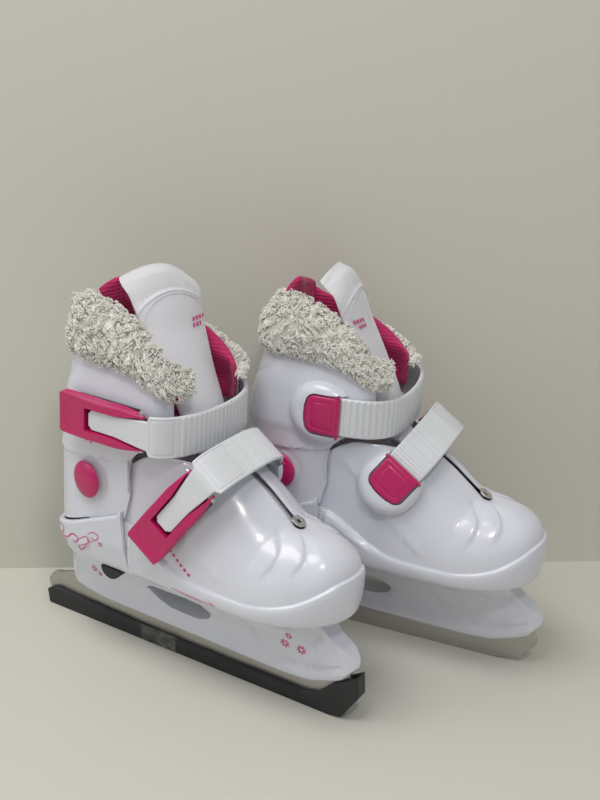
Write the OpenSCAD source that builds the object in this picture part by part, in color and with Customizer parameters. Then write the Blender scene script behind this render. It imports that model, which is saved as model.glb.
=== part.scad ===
// A pair of adjustable children's ice skates with hard plastic boots.
// Everything is drawn for the right foot: X points to the toe, Y to the wearer's left
// (the inner side of the right foot), and Z up from the blade's running edge.
// The left skate is the mirror image of the right one.

/* [Pair] */
// Distance between the two skates' mid-lines
pair_spacing = 96; // [94:1:130]
// How far the left skate stands ahead of the right one
stagger = 80; // [0:5:100]
// Angle that each toe points outward from straight ahead
toe_out = 4.85; // [0:0.05:6]

/* [Blade] */
// Thickness of the steel blade
blade_t = 3; // [2.6:0.1:3.2]
// Depth of the blade's top edge inside the holder, above the running edge
blade_top = 25; // [24:0.5:26]
// Number of teeth on the toe pick
pick_teeth = 7; // [5:1:9]

/* [Boot] */
// Half the width of the boot's hard shell at the sole
boot_half_w = 42.5; // [42.5:0.1:43]
// Height of the sole's underside above the running edge
sole_z = 63.5; // [63.3:0.1:63.7]
// Wall thickness of the hard shells
wall = 2.2; // [2:0.1:2.3]
// Height of the ankle pivot above the running edge
ankle_z = 120; // [119:1:121]
// Distance of the ankle pivot behind the middle of the blade
ankle_back = 54; // [53.5:0.5:54.5]

/* [Straps and buckles] */
// Width of the straps and levers
strap_w = 25; // [24:0.5:26]
// Thickness of the straps
strap_t = 2; // [1.6:0.1:2.2]
// Diameter of the levers' pivot pins
pin_d = 3; // [2.6:0.1:3.2]

/* [Hidden] */
$fn = 48;
sides = ["right", "left"];
parts = ["blade", "blade_holder", "blade_pins", "chassis_screws", "heel_shell", "footbed",
    "liner_foot", "tongue_lower", "ankle_rivets", "size_button", "toe_shell", "toe_rivets",
    "lower_strap", "lower_buckle_base", "lower_pivot_pins", "lower_clamp_housing",
    "lower_lever", "lower_clamp", "cuff_shell", "cuff_rivets", "liner_collar", "fur_collar",
    "tongue_upper", "upper_strap", "upper_buckle_base", "upper_pivot_pins",
    "upper_clamp_housing", "upper_lever", "upper_clamp"];

shell_color = "white";
pink = [0.75, 0.15, 0.37];
steel = [0.72, 0.71, 0.68];

guard_floor = 4;          // the guard's thickness under the blade
fit = 0.05;               // radial clearance round pins
ankle_d = 8;
layer = 2.5;              // step from the heel shell's face to the cuff's face
cuff_half_w = boot_half_w - layer;
flap_half_w = cuff_half_w - wall - 0.5;
floor_t = 2.4;

// ---- surfaces made from rows of points ----

function flat(rows) = [for (r = rows) each r];
function quad(a, b, c, d) = [[a, b, c], [a, c, d]];
function side_faces(r, c, base, rows) = [for (i = [0 : rows - 1]) for (j = [0 : c - 2])
    let (i2 = (i + 1) % r) each quad(base + i * c + j, base + i * c + j + 1,
        base + i2 * c + j + 1, base + i2 * c + j)];
function turned(faces) = [for (f = faces) [f[2], f[1], f[0]]];

// A wall between an outer and an inner grid of points; a ring's last row meets its first
module skin(outer, inner, ring = false) {
    r = len(outer);
    c = len(outer[0]);
    n = r * c;
    spans = ring ? r : r - 1;
    low = [for (i = [0 : spans - 1]) let (a = i * c, e = ((i + 1) % r) * c)
        each quad(a, e, e + n, a + n)];
    high = [for (i = [0 : spans - 1]) let (a = i * c + c - 1, e = ((i + 1) % r) * c + c - 1)
        each quad(e, a, a + n, e + n)];
    first = [for (j = [0 : c - 2]) each quad(j + 1, j, j + n, j + 1 + n)];
    last = [for (j = [0 : c - 2]) let (a = (r - 1) * c + j)
        each quad(a, a + 1, a + 1 + n, a + n)];
    faces = concat(side_faces(r, c, 0, spans), turned(side_faces(r, c, n, spans)), low, high,
        ring ? [] : first, ring ? [] : last);
    polyhedron(points = concat(flat(outer), flat(inner)), faces = faces, convexity = 8);
}

// A solid bar through closed loops of points, closed by a flat fan at each end
module loft(loops) {
    r = len(loops);
    c = len(loops[0]);
    around = [for (i = [0 : r - 2]) for (j = [0 : c - 1]) let (k = (j + 1) % c)
        each quad(i * c + j, i * c + k, (i + 1) * c + k, (i + 1) * c + j)];
    caps = concat([for (j = [1 : c - 2]) [0, j + 1, j]],
        [for (j = [1 : c - 2]) [(r - 1) * c, (r - 1) * c + j, (r - 1) * c + j + 1]]);
    polyhedron(points = flat(loops), faces = turned(concat(around, caps)), convexity = 8);
}

function mirrored(half) = concat(half, [for (i = [len(half) - 2 : -1 : 0])
    [for (p = half[i]) [p[0], -p[1], p[2]]]]);
function reversed(rows) = [for (i = [len(rows) - 1 : -1 : 0]) rows[i]];
function super_radius(along, across, a, p) =
    1 / pow(pow(abs(cos(a)) / along, p) + pow(abs(sin(a)) / across, p), 1 / p);

// ---- the boot's plan: straight sides, a round toe and a round heel ----

toe_x = 58;               // where the toe starts to round
toe_front = 114;
heel_x = -58;             // where the heel starts to round
heel_back = -91;
shell_open_x = -22.8;     // the heel shell's front edge, where the toe shell comes out

function toe_point(a, inset) = let (r = super_radius(toe_front - toe_x - inset,
    boot_half_w - inset, a, 2)) [toe_x + r * cos(a), -r * sin(a)];
function heel_point(a, half_w, back, inset) = let (r = super_radius(heel_x - back - inset,
    half_w - inset, a, 2.5)) [heel_x - r * cos(a), -r * sin(a)];

// Heights that run along the boot
function ridge_z(x) = lookup(x, [[heel_back, 80], [-60, 91], [-27, 104.5], [-20, 107]]);
function rim_z(x) = lookup(x, [[-46, 103], [-21, 97], [-3, 87], [9, 81], [28, 76], [60, 75],
    [90, 79], [106, 88]]);
function crest_z(x) = lookup(x, [[-46, 130], [-25, 137], [-16, 143], [-4, 148.6], [8, 148.2],
    [17, 145.4], [28, 142.5], [40, 136], [50, 129.5], [60, 121.5], [71, 113.5], [78, 110]]);
function throat_y(x) = lookup(x, [[-46, 36], [-4, 35], [8, 31], [17, 24], [26, 9], [33, 2.5],
    [71, 2.5]]);
function shoulder(x) = lookup(x, [[-21, 5.2], [-4, 5], [8, 3.2], [20, 1.6], [60, 1.5],
    [90, 3.5], [106, 6.5]]);

rivet_x = 71;
crest_end = 3.6;          // radius of the hole round the toe rivet

// Stations of the toe shell; those behind flap_end are flaps that slide inside the heel shell
side_x = [-44.5, -34, -23.4, -21, -8, 6, 20, 33, 46, toe_x];
toe_a = [75, 60, 45, 30, 15, 0];
function crest_x(x) = x < 33 ? x : 33 + (x - 33) * (rivet_x - 33) / (toe_x - 33);

// One row of the toe shell from the sole's edge up to the crest, set in by t
// (steep is 1 where the wall ends upright at the throat, and 0 where it lies flat)
function shell_row(o, e, zb, zr, zt, in, t, steps, steep = 0) = let (
    d = e - o, n = d / norm(d), reach = norm(d) + t * steep, up = zr - zb)
    concat([for (c = [[3.5, 0], [0.8, 0.3], [0, 0.62], [0.5, 0.9]])
        let (q = o + n * (c[0] * min(1, up / 12) + t)) [q[0], q[1], zb + up * c[1]]],
    [for (k = [0 : steps]) let (
        w = 90 * k / steps,
        s = in + t + (reach - in - t) * (1 - pow(cos(w), 0.9)),
        q = o + n * s,
        z = zr + (zt - t * (1 - 0.65 * steep) - zr) * pow(sin(w), 1.05))
        [q[0], q[1], z]]);

function toe_side_row(x, t, steps, low_z = sole_z + 1, flap_end = -22) = let (cx = crest_x(x),
    low = x < flap_end, half_w = low ? flap_half_w : boot_half_w)
    shell_row([x, -half_w], [cx, -throat_y(cx)], low ? 69 : low_z,
        low ? 80 : rim_z(x), crest_z(cx), low ? 0.2 : shoulder(x), t, steps,
        throat_y(cx) / 36);
function toe_fan_row(a, t, steps, low_z = sole_z + 1) = let (o = toe_point(a, 0),
    e = [rivet_x + crest_end * cos(a), -crest_end * sin(a)])
    shell_row(o, e, low_z, rim_z(o[0]), crest_z(e[0]), shoulder(o[0]), t, steps);
function toe_rows(t, steps) = mirrored(concat(
    [for (x = side_x) toe_side_row(x, t, steps)], [for (a = toe_a) toe_fan_row(a, t, steps)]));

// ---- steel and chassis ----

pick_top = [114, 27];
pick_low = [109, 8];

rocker_x = 78;
rocker_r = 119;
blade_rocker = [for (a = [0 : 3 : 15]) [rocker_x + rocker_r * sin(a), rocker_r * (1 - cos(a))]];

module blade_profile() {
    tooth = [for (i = [0 : pick_teeth - 1]) let (t = i / pick_teeth,
        q = [pick_low[0] + 7 * t, pick_low[1] + 11 * t])
        each [q, q + [2.4, -0.4]]];
    polygon(concat([[-100, 0]], blade_rocker, tooth, [[117, 19.5], pick_top, [90, blade_top],
        [-96, blade_top]], [for (a = [90 : 20 : 270]) [-109 + 11 * cos(a), 11 + 9.5 * sin(a)]]));
}

pin_x = [-70, 0, 70];
pin_z = 19.5;

module across(y0, y1) {
    translate([0, y1, 0]) rotate([90, 0, 0]) linear_extrude(y1 - y0) children();
}

module cross_pin(x, z, d, l) {
    translate([x, 0, z]) rotate([90, 0, 0]) cylinder(d = d, h = l, center = true);
}

module blade() {
    color(steel) difference() {
        across(-blade_t / 2, blade_t / 2) blade_profile();
        for (x = pin_x) cross_pin(x, pin_z, 4 + 2 * fit, 20);
    }
}

function holder_low(x) = lookup(x, [[-95, 22], [-80, 18], [-60, 16], [-31, 15.5], [20, 14.5],
    [68, 13.5], [86, 14.5], [98, 18], [110, 23], [119, 32]]);
function holder_high(x) = lookup(x, [[-95, 30], [-88, 58], [-84, sole_z - 0.2],
    [93, sole_z - 0.2], [97, 56], [100, 51.5], [106, 46.5], [113, 42.5], [119, 37]]);
function holder_top_w(x) = lookup(x, [[-95, 7], [-88, 14], [-80, 24], [-60, 31], [-20, 33],
    [60, 31], [84, 24], [93, 16], [97, 10], [119, 6]]);
holder_x = [-95, -88, -84, -70, -50, -30, -10, 10, 30, 50, 68, 84, 93, 97, 100, 106, 113, 119];

// One cross-section of the holder: a narrow rail that flares into a wide top plate
function holder_loop(x) = let (l = holder_low(x), h = holder_high(x), w = holder_top_w(x),
    m = min(w, 9), half = [[6.5, l], [7.2, l + (h - l) * 0.18], [m, l + (h - l) * 0.45],
    [m + (w - m) * 0.25, l + (h - l) * 0.72], [w - (w - m) * 0.08, l + (h - l) * 0.93], [w, h]])
    concat([for (p = half) [x, p[0], p[1]]],
        [for (i = [5 : -1 : 0]) [x, -half[i][0], half[i][1]]]);

button_x = -38;
button_r = 7.5;

module window_profile() {
    polygon([[-31, 39.5], [-27, 42.5], [4, 43], [14, 40.5], [18, 36], [15, 32], [8, 29.5],
        [-14, 30]]);
}

module blade_holder() {
    color(shell_color) difference() {
        loft([for (x = holder_x) holder_loop(x)]);
        across(-60, 60) window_profile();
        translate([-100, -blade_t / 2 - fit, 0]) cube([220, blade_t + 2 * fit, blade_top + 0.1]);
        translate([86, -blade_t / 2 - fit, 0]) cube([40, blade_t + 2 * fit, pick_top[1] + 0.1]);
        for (x = pin_x) cross_pin(x, pin_z, 4 + 2 * fit, 11);
        for (p = screw_at) translate([p[0], p[1], 44]) cylinder(d = 5.1, h = 30);
        translate([button_x, -40, sole_z - 0.2]) rotate([-90, 0, 0])
            cylinder(r = button_r + 0.4, h = 18.5);
    }
}

module blade_pins() {
    color(steel) for (x = pin_x) cross_pin(x, pin_z, 4, 10);
}

screw_at = [[-72, 0], [-34, 0], [36, 0], [84, 0]];

module chassis_screws() {
    color(steel) for (p = screw_at) translate([p[0], p[1], 46]) {
        cylinder(d = 5, h = 22);
        translate([0, 0, sole_z + floor_t + 1.2 - 46]) cylinder(d = 9, h = 2);
    }
}

// ---- heel shell ----

heel_side_x = [shell_open_x, -36, -47, heel_x];
heel_a = [72, 54, 36, 18, 0];

function heel_column(x, y, t) = let (n = -[x - (x < heel_x ? heel_x : x), y] /
    norm([x - (x < heel_x ? heel_x : x), y]), rz = ridge_z(x), lean = x > -24 ? 0.11 : 0)
    [for (c = [[6, sole_z], [2.4, 76 < rz - 12 ? 76 : 72], [0, rz - 12 > 77 ? rz - 12 : 74],
        [0, rz]]) [x + n[0] * (c[0] + t) - lean * (c[1] - sole_z), y + n[1] * (c[0] + t), c[1]]];

function heel_rows(t) = reversed(mirrored(concat(
    [for (x = heel_side_x) heel_column(x, -boot_half_w, t)],
    [for (a = heel_a) let (p = heel_point(a, boot_half_w, heel_back, 0))
        heel_column(p[0], p[1], t)])));

module heel_floor_profile() {
    half = concat([[shell_open_x + 0.1, -(boot_half_w - 7)], [heel_x, -(boot_half_w - 7)]],
        [for (a = heel_a) heel_point(a, boot_half_w, heel_back, 7)]);
    polygon(concat(half, [for (i = [len(half) - 2 : -1 : 0]) [half[i][0], -half[i][1]]]));
}

module ankle_lug() {
    hull() {
        translate([-ankle_back, ankle_z]) circle(r = 7.2);
        translate([-ankle_back - 7.2, 84]) square([14.4, 2]);
    }
}

module heel_shell() {
    color(shell_color) difference() {
        union() {
            skin(heel_rows(0), heel_rows(wall));
            translate([0, 0, sole_z]) linear_extrude(floor_t) heel_floor_profile();
            for (s = [-1, 1]) across(s > 0 ? flap_half_w - wall : -flap_half_w,
                s > 0 ? flap_half_w : -flap_half_w + wall) ankle_lug();
        }
        cross_pin(-ankle_back, ankle_z, ankle_d + 2 * fit, 100);
        for (p = screw_at) translate([p[0], p[1], sole_z - 1]) cylinder(d = 5.1, h = 9);
        translate([button_x, -50, sole_z - 0.2]) rotate([-90, 0, 0])
            cylinder(r = button_r + 0.4, h = 28.5);
    }
}

module footbed() {
    color([0.8, 0.8, 0.82]) translate([0, 0, sole_z + floor_t + 3.6]) linear_extrude(1.6)
        polygon(concat([for (a = [0 : 15 : 90]) [62 + 32 * cos(a), 27 * sin(a)]], [[5, 25]],
            [for (a = [90 : 15 : 270]) [-56 + 20 * cos(a), 25.5 * sin(a)]], [[5, -25]],
            [for (a = [-90 : 15 : -15]) [62 + 32 * cos(a), 27 * sin(a)]]));
}

module ankle_rivets() {
    cap_h = 3.6;
    cap_r = 11.5;
    shank_l = cuff_half_w + 0.3 - (flap_half_w - wall) + 0.9;
    for (s = [-1, 1]) mirror([0, s > 0 ? 1 : 0, 0])
        translate([-ankle_back, -(cuff_half_w + 0.3), ankle_z]) rotate([90, 0, 0]) {
            color(pink) rotate_extrude() polygon(concat([[0, 0], [cap_r - 0.6, 0],
                [cap_r, 0.8]], [for (a = [15 : 15 : 90])
                [cap_r * cos(a), 0.8 + (cap_h - 0.8) * sin(a)]]));
            color(steel) translate([0, 0, -shank_l]) cylinder(d = ankle_d, h = shank_l + 0.2);
            color(steel) translate([0, 0, -shank_l]) cylinder(d = 13, h = 0.8);
        }
}

module size_button() {
    color([0.08, 0.08, 0.08]) intersection() {
        translate([button_x, -37.4, sole_z - 0.2]) rotate([-90, 0, 0])
            cylinder(r = button_r, h = 10.5);
        translate([button_x - 10, -60, sole_z - 12]) cube([20, 60, 11.4]);
    }
}

// ---- toe shell ----

module toe_floor_profile() {
    half = concat([[-20.4, -(boot_half_w - 4.5)], [toe_x, -(boot_half_w - 4.5)]],
        [for (a = toe_a) toe_point(a, 4.5)]);
    polygon(concat(half, [for (i = [len(half) - 2 : -1 : 0]) [half[i][0], -half[i][1]]]));
}

module toe_shell() {
    color(shell_color) difference() {
        union() {
            skin(toe_rows(0, 6), toe_rows(wall, 6));
            translate([0, 0, sole_z + 1]) linear_extrude(floor_t) toe_floor_profile();
        }
        for (p = [screw_at[2], screw_at[3]]) translate([p[0], p[1], sole_z - 1]) {
            cylinder(d = 5.6, h = 9);
            translate([-22, -2.8, 0]) cube([22, 5.6, 9]);
            translate([-22, 0, 0]) cylinder(d = 5.6, h = 9);
        }
    }
}

module toe_rivets() {
    color(steel) translate([rivet_x, 0, crest_z(rivet_x)]) rotate([0, 27, 0]) difference() {
        union() {
            translate([0, 0, -2.2]) cylinder(d = 4.8, h = 3.2);
            translate([0, 0, 0.9]) cylinder(d = 9, h = 0.8);
        }
        translate([0, 0, -4]) cylinder(d = 3.2, h = 9);
    }
}

// ---- buckles: a = along the strap, b = out of the boot, c = across the strap ----

lever_l = 63;
lever_back = 3;           // the lever's rear end in the buckle's own frame
pivot_a = 60;
pivot_b = 5;
lever_gap = 0.4;
base_t = 2.6;
tongue_w = 11;
cheek_t = 1.3;
cheek_in = tongue_w / 2 + 0.5;

module along_strap(w) {
    translate([0, 0, -w / 2]) linear_extrude(w) children();
}

// Side view of a lever: flat below, bowed above, thick at its rear end
module lever_side() {
    polygon(concat([[lever_back, base_t + lever_gap], [lever_back - 1.5, base_t + 3.4],
        [lever_back, base_t + 6.6]],
        [for (t = [0.15 : 0.17 : 0.83]) [lever_back + (lever_l - lever_back) * t,
            base_t + 6.6 + 1.6 * sin(180 * t)]],
        [for (a = [60 : -30 : -90]) [pivot_a + 3 * cos(a), pivot_b + 1 + 2.9 * sin(a)]],
        [[pivot_a, base_t + lever_gap]]));
}

module lever_window() {
    inner = tongue_w / 2 + 0.7;
    polygon([[lever_back + 17, -inner], [46, -inner], [54, -8.4], [70, -8.6], [70, 8.6],
        [54, 8.4], [46, inner], [lever_back + 17, inner]]);
}

module lever() {
    color(pink) difference() {
        along_strap(strap_w) lever_side();
        translate([0, 20, 0]) rotate([90, 0, 0]) linear_extrude(30) lever_window();
        translate([pivot_a, pivot_b, 0]) cylinder(d = pin_d + 2 * fit, h = 60, center = true);
    }
}

module buckle_base() {
    color([0.1, 0.1, 0.1]) difference() {
        union() {
            translate([12, 0.6, -strap_w / 2 + 0.8])
                cube([pivot_a - 16.5, base_t - 0.6, strap_w - 1.6]);
            translate([pivot_a - 5, 0.6, -cheek_in - cheek_t])
                cube([8, base_t - 0.6, 2 * (cheek_in + cheek_t)]);
            for (s = [-1, 1]) translate([pivot_a - 3.6, 0.6, s > 0 ? cheek_in : -cheek_in - cheek_t])
                cube([6.6, pivot_b + 2, cheek_t]);
        }
        translate([pivot_a, pivot_b, 0]) cylinder(d = pin_d + 2 * fit, h = 60, center = true);
        for (a = [20, 40]) translate([a, 1.6, 0]) cylinder(d = 1.3, h = 60, center = true);
        for (a = [26, 48]) translate([a, -5, 0]) rotate([-90, 0, 0]) cylinder(d = 3.1, h = 20);
    }
}

module pivot_pins() {
    color(steel) {
        translate([pivot_a, pivot_b, 0]) cylinder(d = pin_d, h = strap_w - 0.4, center = true);
        for (a = [20, 40]) translate([a, 1.6, 0]) cylinder(d = 1.2, h = strap_w, center = true);
    }
}

// Frames of the two buckles on the outer side of the boot
strap_z = 164.5;
upper_side = cuff_half_w + 1.6;   // the cuff bulges a little under the upper strap
upper_o = [-69, -upper_side];
strap_lean = 55;                  // the lower strap's plane leans back by this much
lower_o = [-2, 0, 96];
lower_tilt = 9;
lower_at = [-7, -44.3];
clamp_tilt = 18;
clamp_at = [47.2, 33.2];
upper_hinge_x = -16.5;

module upper_plane() {
    translate([0, 0, strap_z]) children();
}

module lower_plane() {
    translate(lower_o) rotate([0, -strap_lean, 0]) children();
}

module upper_frame() {
    upper_plane() translate(upper_o) mirror([0, 1, 0]) children();
}

module lower_frame() {
    lower_plane() translate(lower_at) rotate([0, 0, lower_tilt]) mirror([0, 1, 0]) children();
}

module upper_clamp_frame() {
    upper_plane() translate([upper_hinge_x, upper_side - 0.3, 0]) mirror([1, 0, 0]) children();
}

module lower_clamp_frame() {
    lower_plane() translate(clamp_at) rotate([0, 0, clamp_tilt * -1]) mirror([1, 0, 0]) children();
}

// A flat band of thickness t that follows a list of points
function band_side(p, t) = [for (i = [0 : len(p) - 1]) let (
    d = p[min(i + 1, len(p) - 1)] - p[max(i - 1, 0)], n = [-d[1], d[0]] / norm(d)) p[i] + n * t];
module band(p, t, w) {
    far = band_side(p, t / 2);
    near = band_side(p, -t / 2);
    along_strap(w) polygon(concat(far, [for (i = [len(p) - 1 : -1 : 0]) near[i]]));
}

tongue_b = 7.9;           // the strap's tongue lies over the pivot pin
wide_a = 66;
clamp_b = 2.4;
function lower_pt(a, b) = lower_at + [a * cos(lower_tilt) + b * sin(lower_tilt),
    a * sin(lower_tilt) - b * cos(lower_tilt)];
function clamp_pt(u, v) = clamp_at + [-u * cos(clamp_tilt) + v * sin(clamp_tilt),
    u * sin(clamp_tilt) + v * cos(clamp_tilt)];

upper_path = [upper_o + [wide_a, -tongue_b], [2, -48.6], [7, -45], [11.5, -38], [15, -27],
    [17, -13], [17.4, 2], [16, 16], [11.5, 29], [4, 37.5], [-6, 42.3], [-12, 43.5],
    [upper_hinge_x, upper_side - 0.3 + clamp_b], [-33, upper_side - 0.3 + clamp_b]];
lower_path = [lower_pt(wide_a, tongue_b), [62.6, -39], [65.2, -32], [66.4, -22], [66.8, -8],
    [66, 6], [63.5, 17], [59.5, 26], [54, 32], clamp_pt(0, clamp_b), clamp_pt(16.5, clamp_b)];

module upper_strap() {
    color(shell_color) upper_plane() {
        band(upper_path, strap_t, strap_w);
        band([upper_o + [lever_back + 19, -tongue_b], upper_path[0] + [0.2, 0]], strap_t, tongue_w);
    }
}

module lower_strap() {
    color(shell_color) lower_plane() {
        band(lower_path, strap_t, strap_w);
        band([lower_pt(lever_back + 19, tongue_b), lower_pt(wide_a + 0.2, tongue_b)], strap_t,
            tongue_w);
    }
}

// ---- clamps on the inner side: u = along the strap to its end, v = out of the boot ----

plate_l = 21;
plate_t = 2.8;
plate_v = 3.8;
hinge_v = 5;
housing_t = 6.5;
housing_r = 19;
lug_c = strap_w / 2 + 0.5;

module housing() {
    color(shell_color) difference() {
        translate([plate_l / 2 + 3, 0, 0]) rotate([-90, 0, 0]) cylinder(r = housing_r, h = housing_t);
        translate([-30, 1.2, -lug_c]) cube([plate_l + 31, 20, 2 * lug_c]);
        translate([-31, -1, -lug_c]) cube([30, 20, 2 * lug_c]);
        translate([0, hinge_v, 0]) cylinder(d = 1.7 + 2 * fit, h = 60, center = true);
        for (u = [9, 24]) translate([u, -5, 0]) rotate([-90, 0, 0]) cylinder(d = 3.1, h = 20);
    }
}

module clamp() {
    color(pink) {
        translate([0, plate_v, -strap_w / 2]) cube([plate_l, plate_t, strap_w]);
        translate([0, hinge_v, 0]) cylinder(d = 2.4, h = strap_w, center = true);
        translate([0, hinge_v, 0]) cylinder(d = 1.7, h = strap_w + 4, center = true);
    }
}

module upper_buckle_base() { upper_frame() buckle_base(); }
module lower_buckle_base() { lower_frame() buckle_base(); }
module upper_pivot_pins() { upper_frame() pivot_pins(); }
module lower_pivot_pins() { lower_frame() pivot_pins(); }
module upper_lever() { upper_frame() lever(); }
module lower_lever() { lower_frame() lever(); }
module upper_clamp_housing() { upper_clamp_frame() housing(); }
module lower_clamp_housing() { lower_clamp_frame() housing(); }
module upper_clamp() { upper_clamp_frame() clamp(); }
module lower_clamp() { lower_clamp_frame() clamp(); }

// ---- cuff, liner, fur and tongue ----

function cuff_w(z) = lookup(z, [[80, cuff_half_w], [145, cuff_half_w], [152, cuff_half_w + 1],
    [174, cuff_half_w + 0.6], [197, cuff_half_w - 2.5], [240, cuff_half_w - 7]]);
function cuff_back(z) = lookup(z, [[80, -89.8], [100, -90.8], [130, -91], [150, -90],
    [172, -86.5], [197, -81], [240, -73]]);

// Bottom and top points of the cuff's side, from its front edge back to the heel
ear_r = 31.4;
cuff_low = concat([[4, 160], [-6, 155], [-16, 147.5], [-22.3, 139.5]],
    [for (a = [15, -2, -20]) [ear_r * cos(a) - ankle_back, ankle_z + ear_r * sin(a)]],
    [[-27, 100.5], [-39, ridge_z(-39) - 4], [-48, ridge_z(-48) - 4],
        [-54, ridge_z(-54) + 0.9]]);
function rim_top(x) = lookup(x, [[heel_back, 203], [-54, 197], [-15, 191.5], [4, 183.5]]);
cuff_a = [82, 68, 50, 33, 16, 0];

function cuff_side(x, z, t) = let (f = max(0, x + 8) / 12)
    [x, -(cuff_w(z) - 7 * f * f - t), z];
function cuff_fan(a, z, t) = let (r = super_radius(heel_x - cuff_back(z) - t, cuff_w(z) - t, a,
    2.5)) [heel_x - r * cos(a), -r * sin(a), z];
function mix(a, b, f) = a + (b - a) * f;

cuff_steps = [0, 0.16, 0.33, 0.5, 0.66, 0.82, 1];
function cuff_rows(t) = reversed(mirrored(concat(
    [for (i = [0 : len(cuff_low) - 1]) let (x2 = mix(2.5, -55, i / (len(cuff_low) - 1)),
        z2 = rim_top(x2)) [for (f = cuff_steps) cuff_side(mix(cuff_low[i][0], x2, f),
        mix(cuff_low[i][1], z2, f), t)]],
    [for (a = cuff_a) let (x = heel_point(a, cuff_half_w, heel_back, 0)[0])
        [for (f = cuff_steps) cuff_fan(a, mix(ridge_z(x) + 0.9, rim_top(x), f), t)]])));

module cuff_shell() {
    color(shell_color) difference() {
        skin(cuff_rows(0), cuff_rows(wall));
        cross_pin(-ankle_back, ankle_z, ankle_d + 2 * fit, 100);
        upper_frame() for (a = [26, 48]) translate([a, -5, 0]) rotate([-90, 0, 0])
            cylinder(d = 3.1, h = 20);
        upper_clamp_frame() for (u = [9, 24]) translate([u, -5, 0]) rotate([-90, 0, 0])
            cylinder(d = 3.1, h = 20);
    }
}

// The rivets that hold the upper buckle and housing on the cuff
module cuff_rivets() {
    color(steel) {
        upper_frame() for (a = [26, 48]) translate([a, -0.6 - wall, 0])
            rotate([-90, 0, 0]) cylinder(d = 3, h = wall + base_t + 0.6);
        upper_clamp_frame() for (u = [9, 24]) translate([u, -0.3 - wall, 0])
            rotate([-90, 0, 0]) cylinder(d = 3, h = wall + 1.3);
    }
}

collar_x = [3, -6, -18, -30, -44, -56];
function collar_top(x) = lookup(x, [[heel_back, 236], [-75, 232], [-50, 221], [-18, 209],
    [4, 190]]);
function collar_low(x) = lookup(x, [[-60, 138], [-46, 140], [-30, 150], [-10, 161], [4, 166]]);

// Rows of a soft wall that follows the cuff, from low(x) to high(x) at the given steps
function soft_rows(t, low, high, steps) = reversed(mirrored(concat(
    [for (x = collar_x) [for (f = steps) let (p = cuff_side(x, mix(low(x), high(x), f), t))
        [p[0] - max(0, p[2] - 190) * 0.25, p[1], p[2]]]],
    [for (a = cuff_a) let (x = heel_point(a, cuff_half_w, heel_back, 0)[0])
        [for (f = steps) cuff_fan(a, mix(low(x), high(x), f), t)]])));

liner_t = 4;
liner_gap = wall + 0.8;
soft_steps = [0, 0.25, 0.5, 0.75, 1];

module liner_collar() {
    color(pink) skin(soft_rows(liner_gap, function (x) collar_low(x), function (x) collar_top(x),
        soft_steps), soft_rows(liner_gap + liner_t, function (x) collar_low(x),
        function (x) collar_top(x), soft_steps));
}

module fur_collar() {
    low = function (x) rim_top(x) + 0.8;
    high = function (x) collar_top(x) - 3;
    outer = [for (f = [0, 0.5, 1]) soft_rows(-3 - 3.5 * sin(180 * f), low, high, [f])];
    rows = len(outer[0]);
    color([0.93, 0.92, 0.88]) skin([for (i = [0 : rows - 1]) [for (k = outer) k[i][0]]],
        soft_rows(liner_gap - 0.8, low, high, [0, 0.5, 1]));
}

// One cross-section of the tongue: arched across, at height z with its front face at x
function tongue_loop(x, z, w, t, dz = 0) = let (n = 6,
    front = [for (i = [0 : n]) let (y = mix(-w, w, i / n)) [x - y * y * 0.011, y, z]])
    concat(front, [for (i = [n : -1 : 0]) front[i] - [t, 0, dz]]);

module tongue_upper() {
    color(shell_color) loft([for (p = [[170, 6, 21], [185, -1, 22], [200, -8, 22], [218, -17, 23],
        [232, -23, 23], [240, -28, 21], [245, -32, 17]]) tongue_loop(p[1], p[0], p[2], 7)]);
}

module tongue_lower() {
    color(shell_color) loft([for (p = [[142.5, 19, 9], [146, 14.5, 13], [150, 10.5, 16],
        [154, 7, 18]])
        tongue_loop(p[1], p[0], p[2], 6, 3)]);
}

liner_columns = 10;
liner_low = 67.4;
toe_room = 1.7;
// Room for the toe shell's narrow flaps and its shelf when it slides out
function slide_room(x) = lookup(x, [[-4, 0], [-1, 4.2], [12, 5.4], [22, 5], [33, 3.6], [46, 2.2],
    [toe_x, toe_room]]);
function liner_heel_row(o, t) = let (n = -[o[0] - max(o[0], heel_x), o[1]] /
    norm([o[0] - max(o[0], heel_x), o[1]])) [for (k = [0 : liner_columns])
    let (q = o + n * ((k == 0 ? 10.5 : 9.2) + t)) [q[0], q[1], mix(liner_low, 131, k / liner_columns)]];
function liner_rows(t) = concat(
    [for (a = [0, 25, 50, 72]) liner_heel_row(heel_point(a, boot_half_w, heel_back, 0), t)],
    [liner_heel_row([heel_x, -boot_half_w], t)],
    [for (x = [-44.5, -30, -16, -2, 12, 22, 33, 46, toe_x])
        toe_side_row(x, wall + 1 + t + slide_room(x), 6, liner_low, 0)],
    [for (a = toe_a) toe_fan_row(a, wall + 1 + t + toe_room, 6, liner_low)]);

module liner_foot() {
    half_out = liner_rows(0);
    half_in = liner_rows(3.5);
    color([0.85, 0.85, 0.87]) skin(closed(half_out), closed(half_in), ring = true);
}
function closed(half) = concat(half, [for (i = [len(half) - 2 : -1 : 1])
    [for (p = half[i]) [p[0], -p[1], p[2]]]]);

// ---- edge guard, on the right skate's blade ----

guard_w = 10;

module guard_profile(slot) {
    if (slot)
        polygon(concat([[-130, 0]], blade_rocker, [[113, 6.4], [119, 19], [119, 40],
            [-130, 40]]));
    else
        polygon([[-117, -guard_floor], [104, -guard_floor], [112, -2], [122.4, 14.6],
            [121, 28.5], [114, 24], [104, 17.5], [94, 7.5], [84, 5], [-32, 5.6], [-112, 9],
            [-119, 6]]);
}

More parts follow.
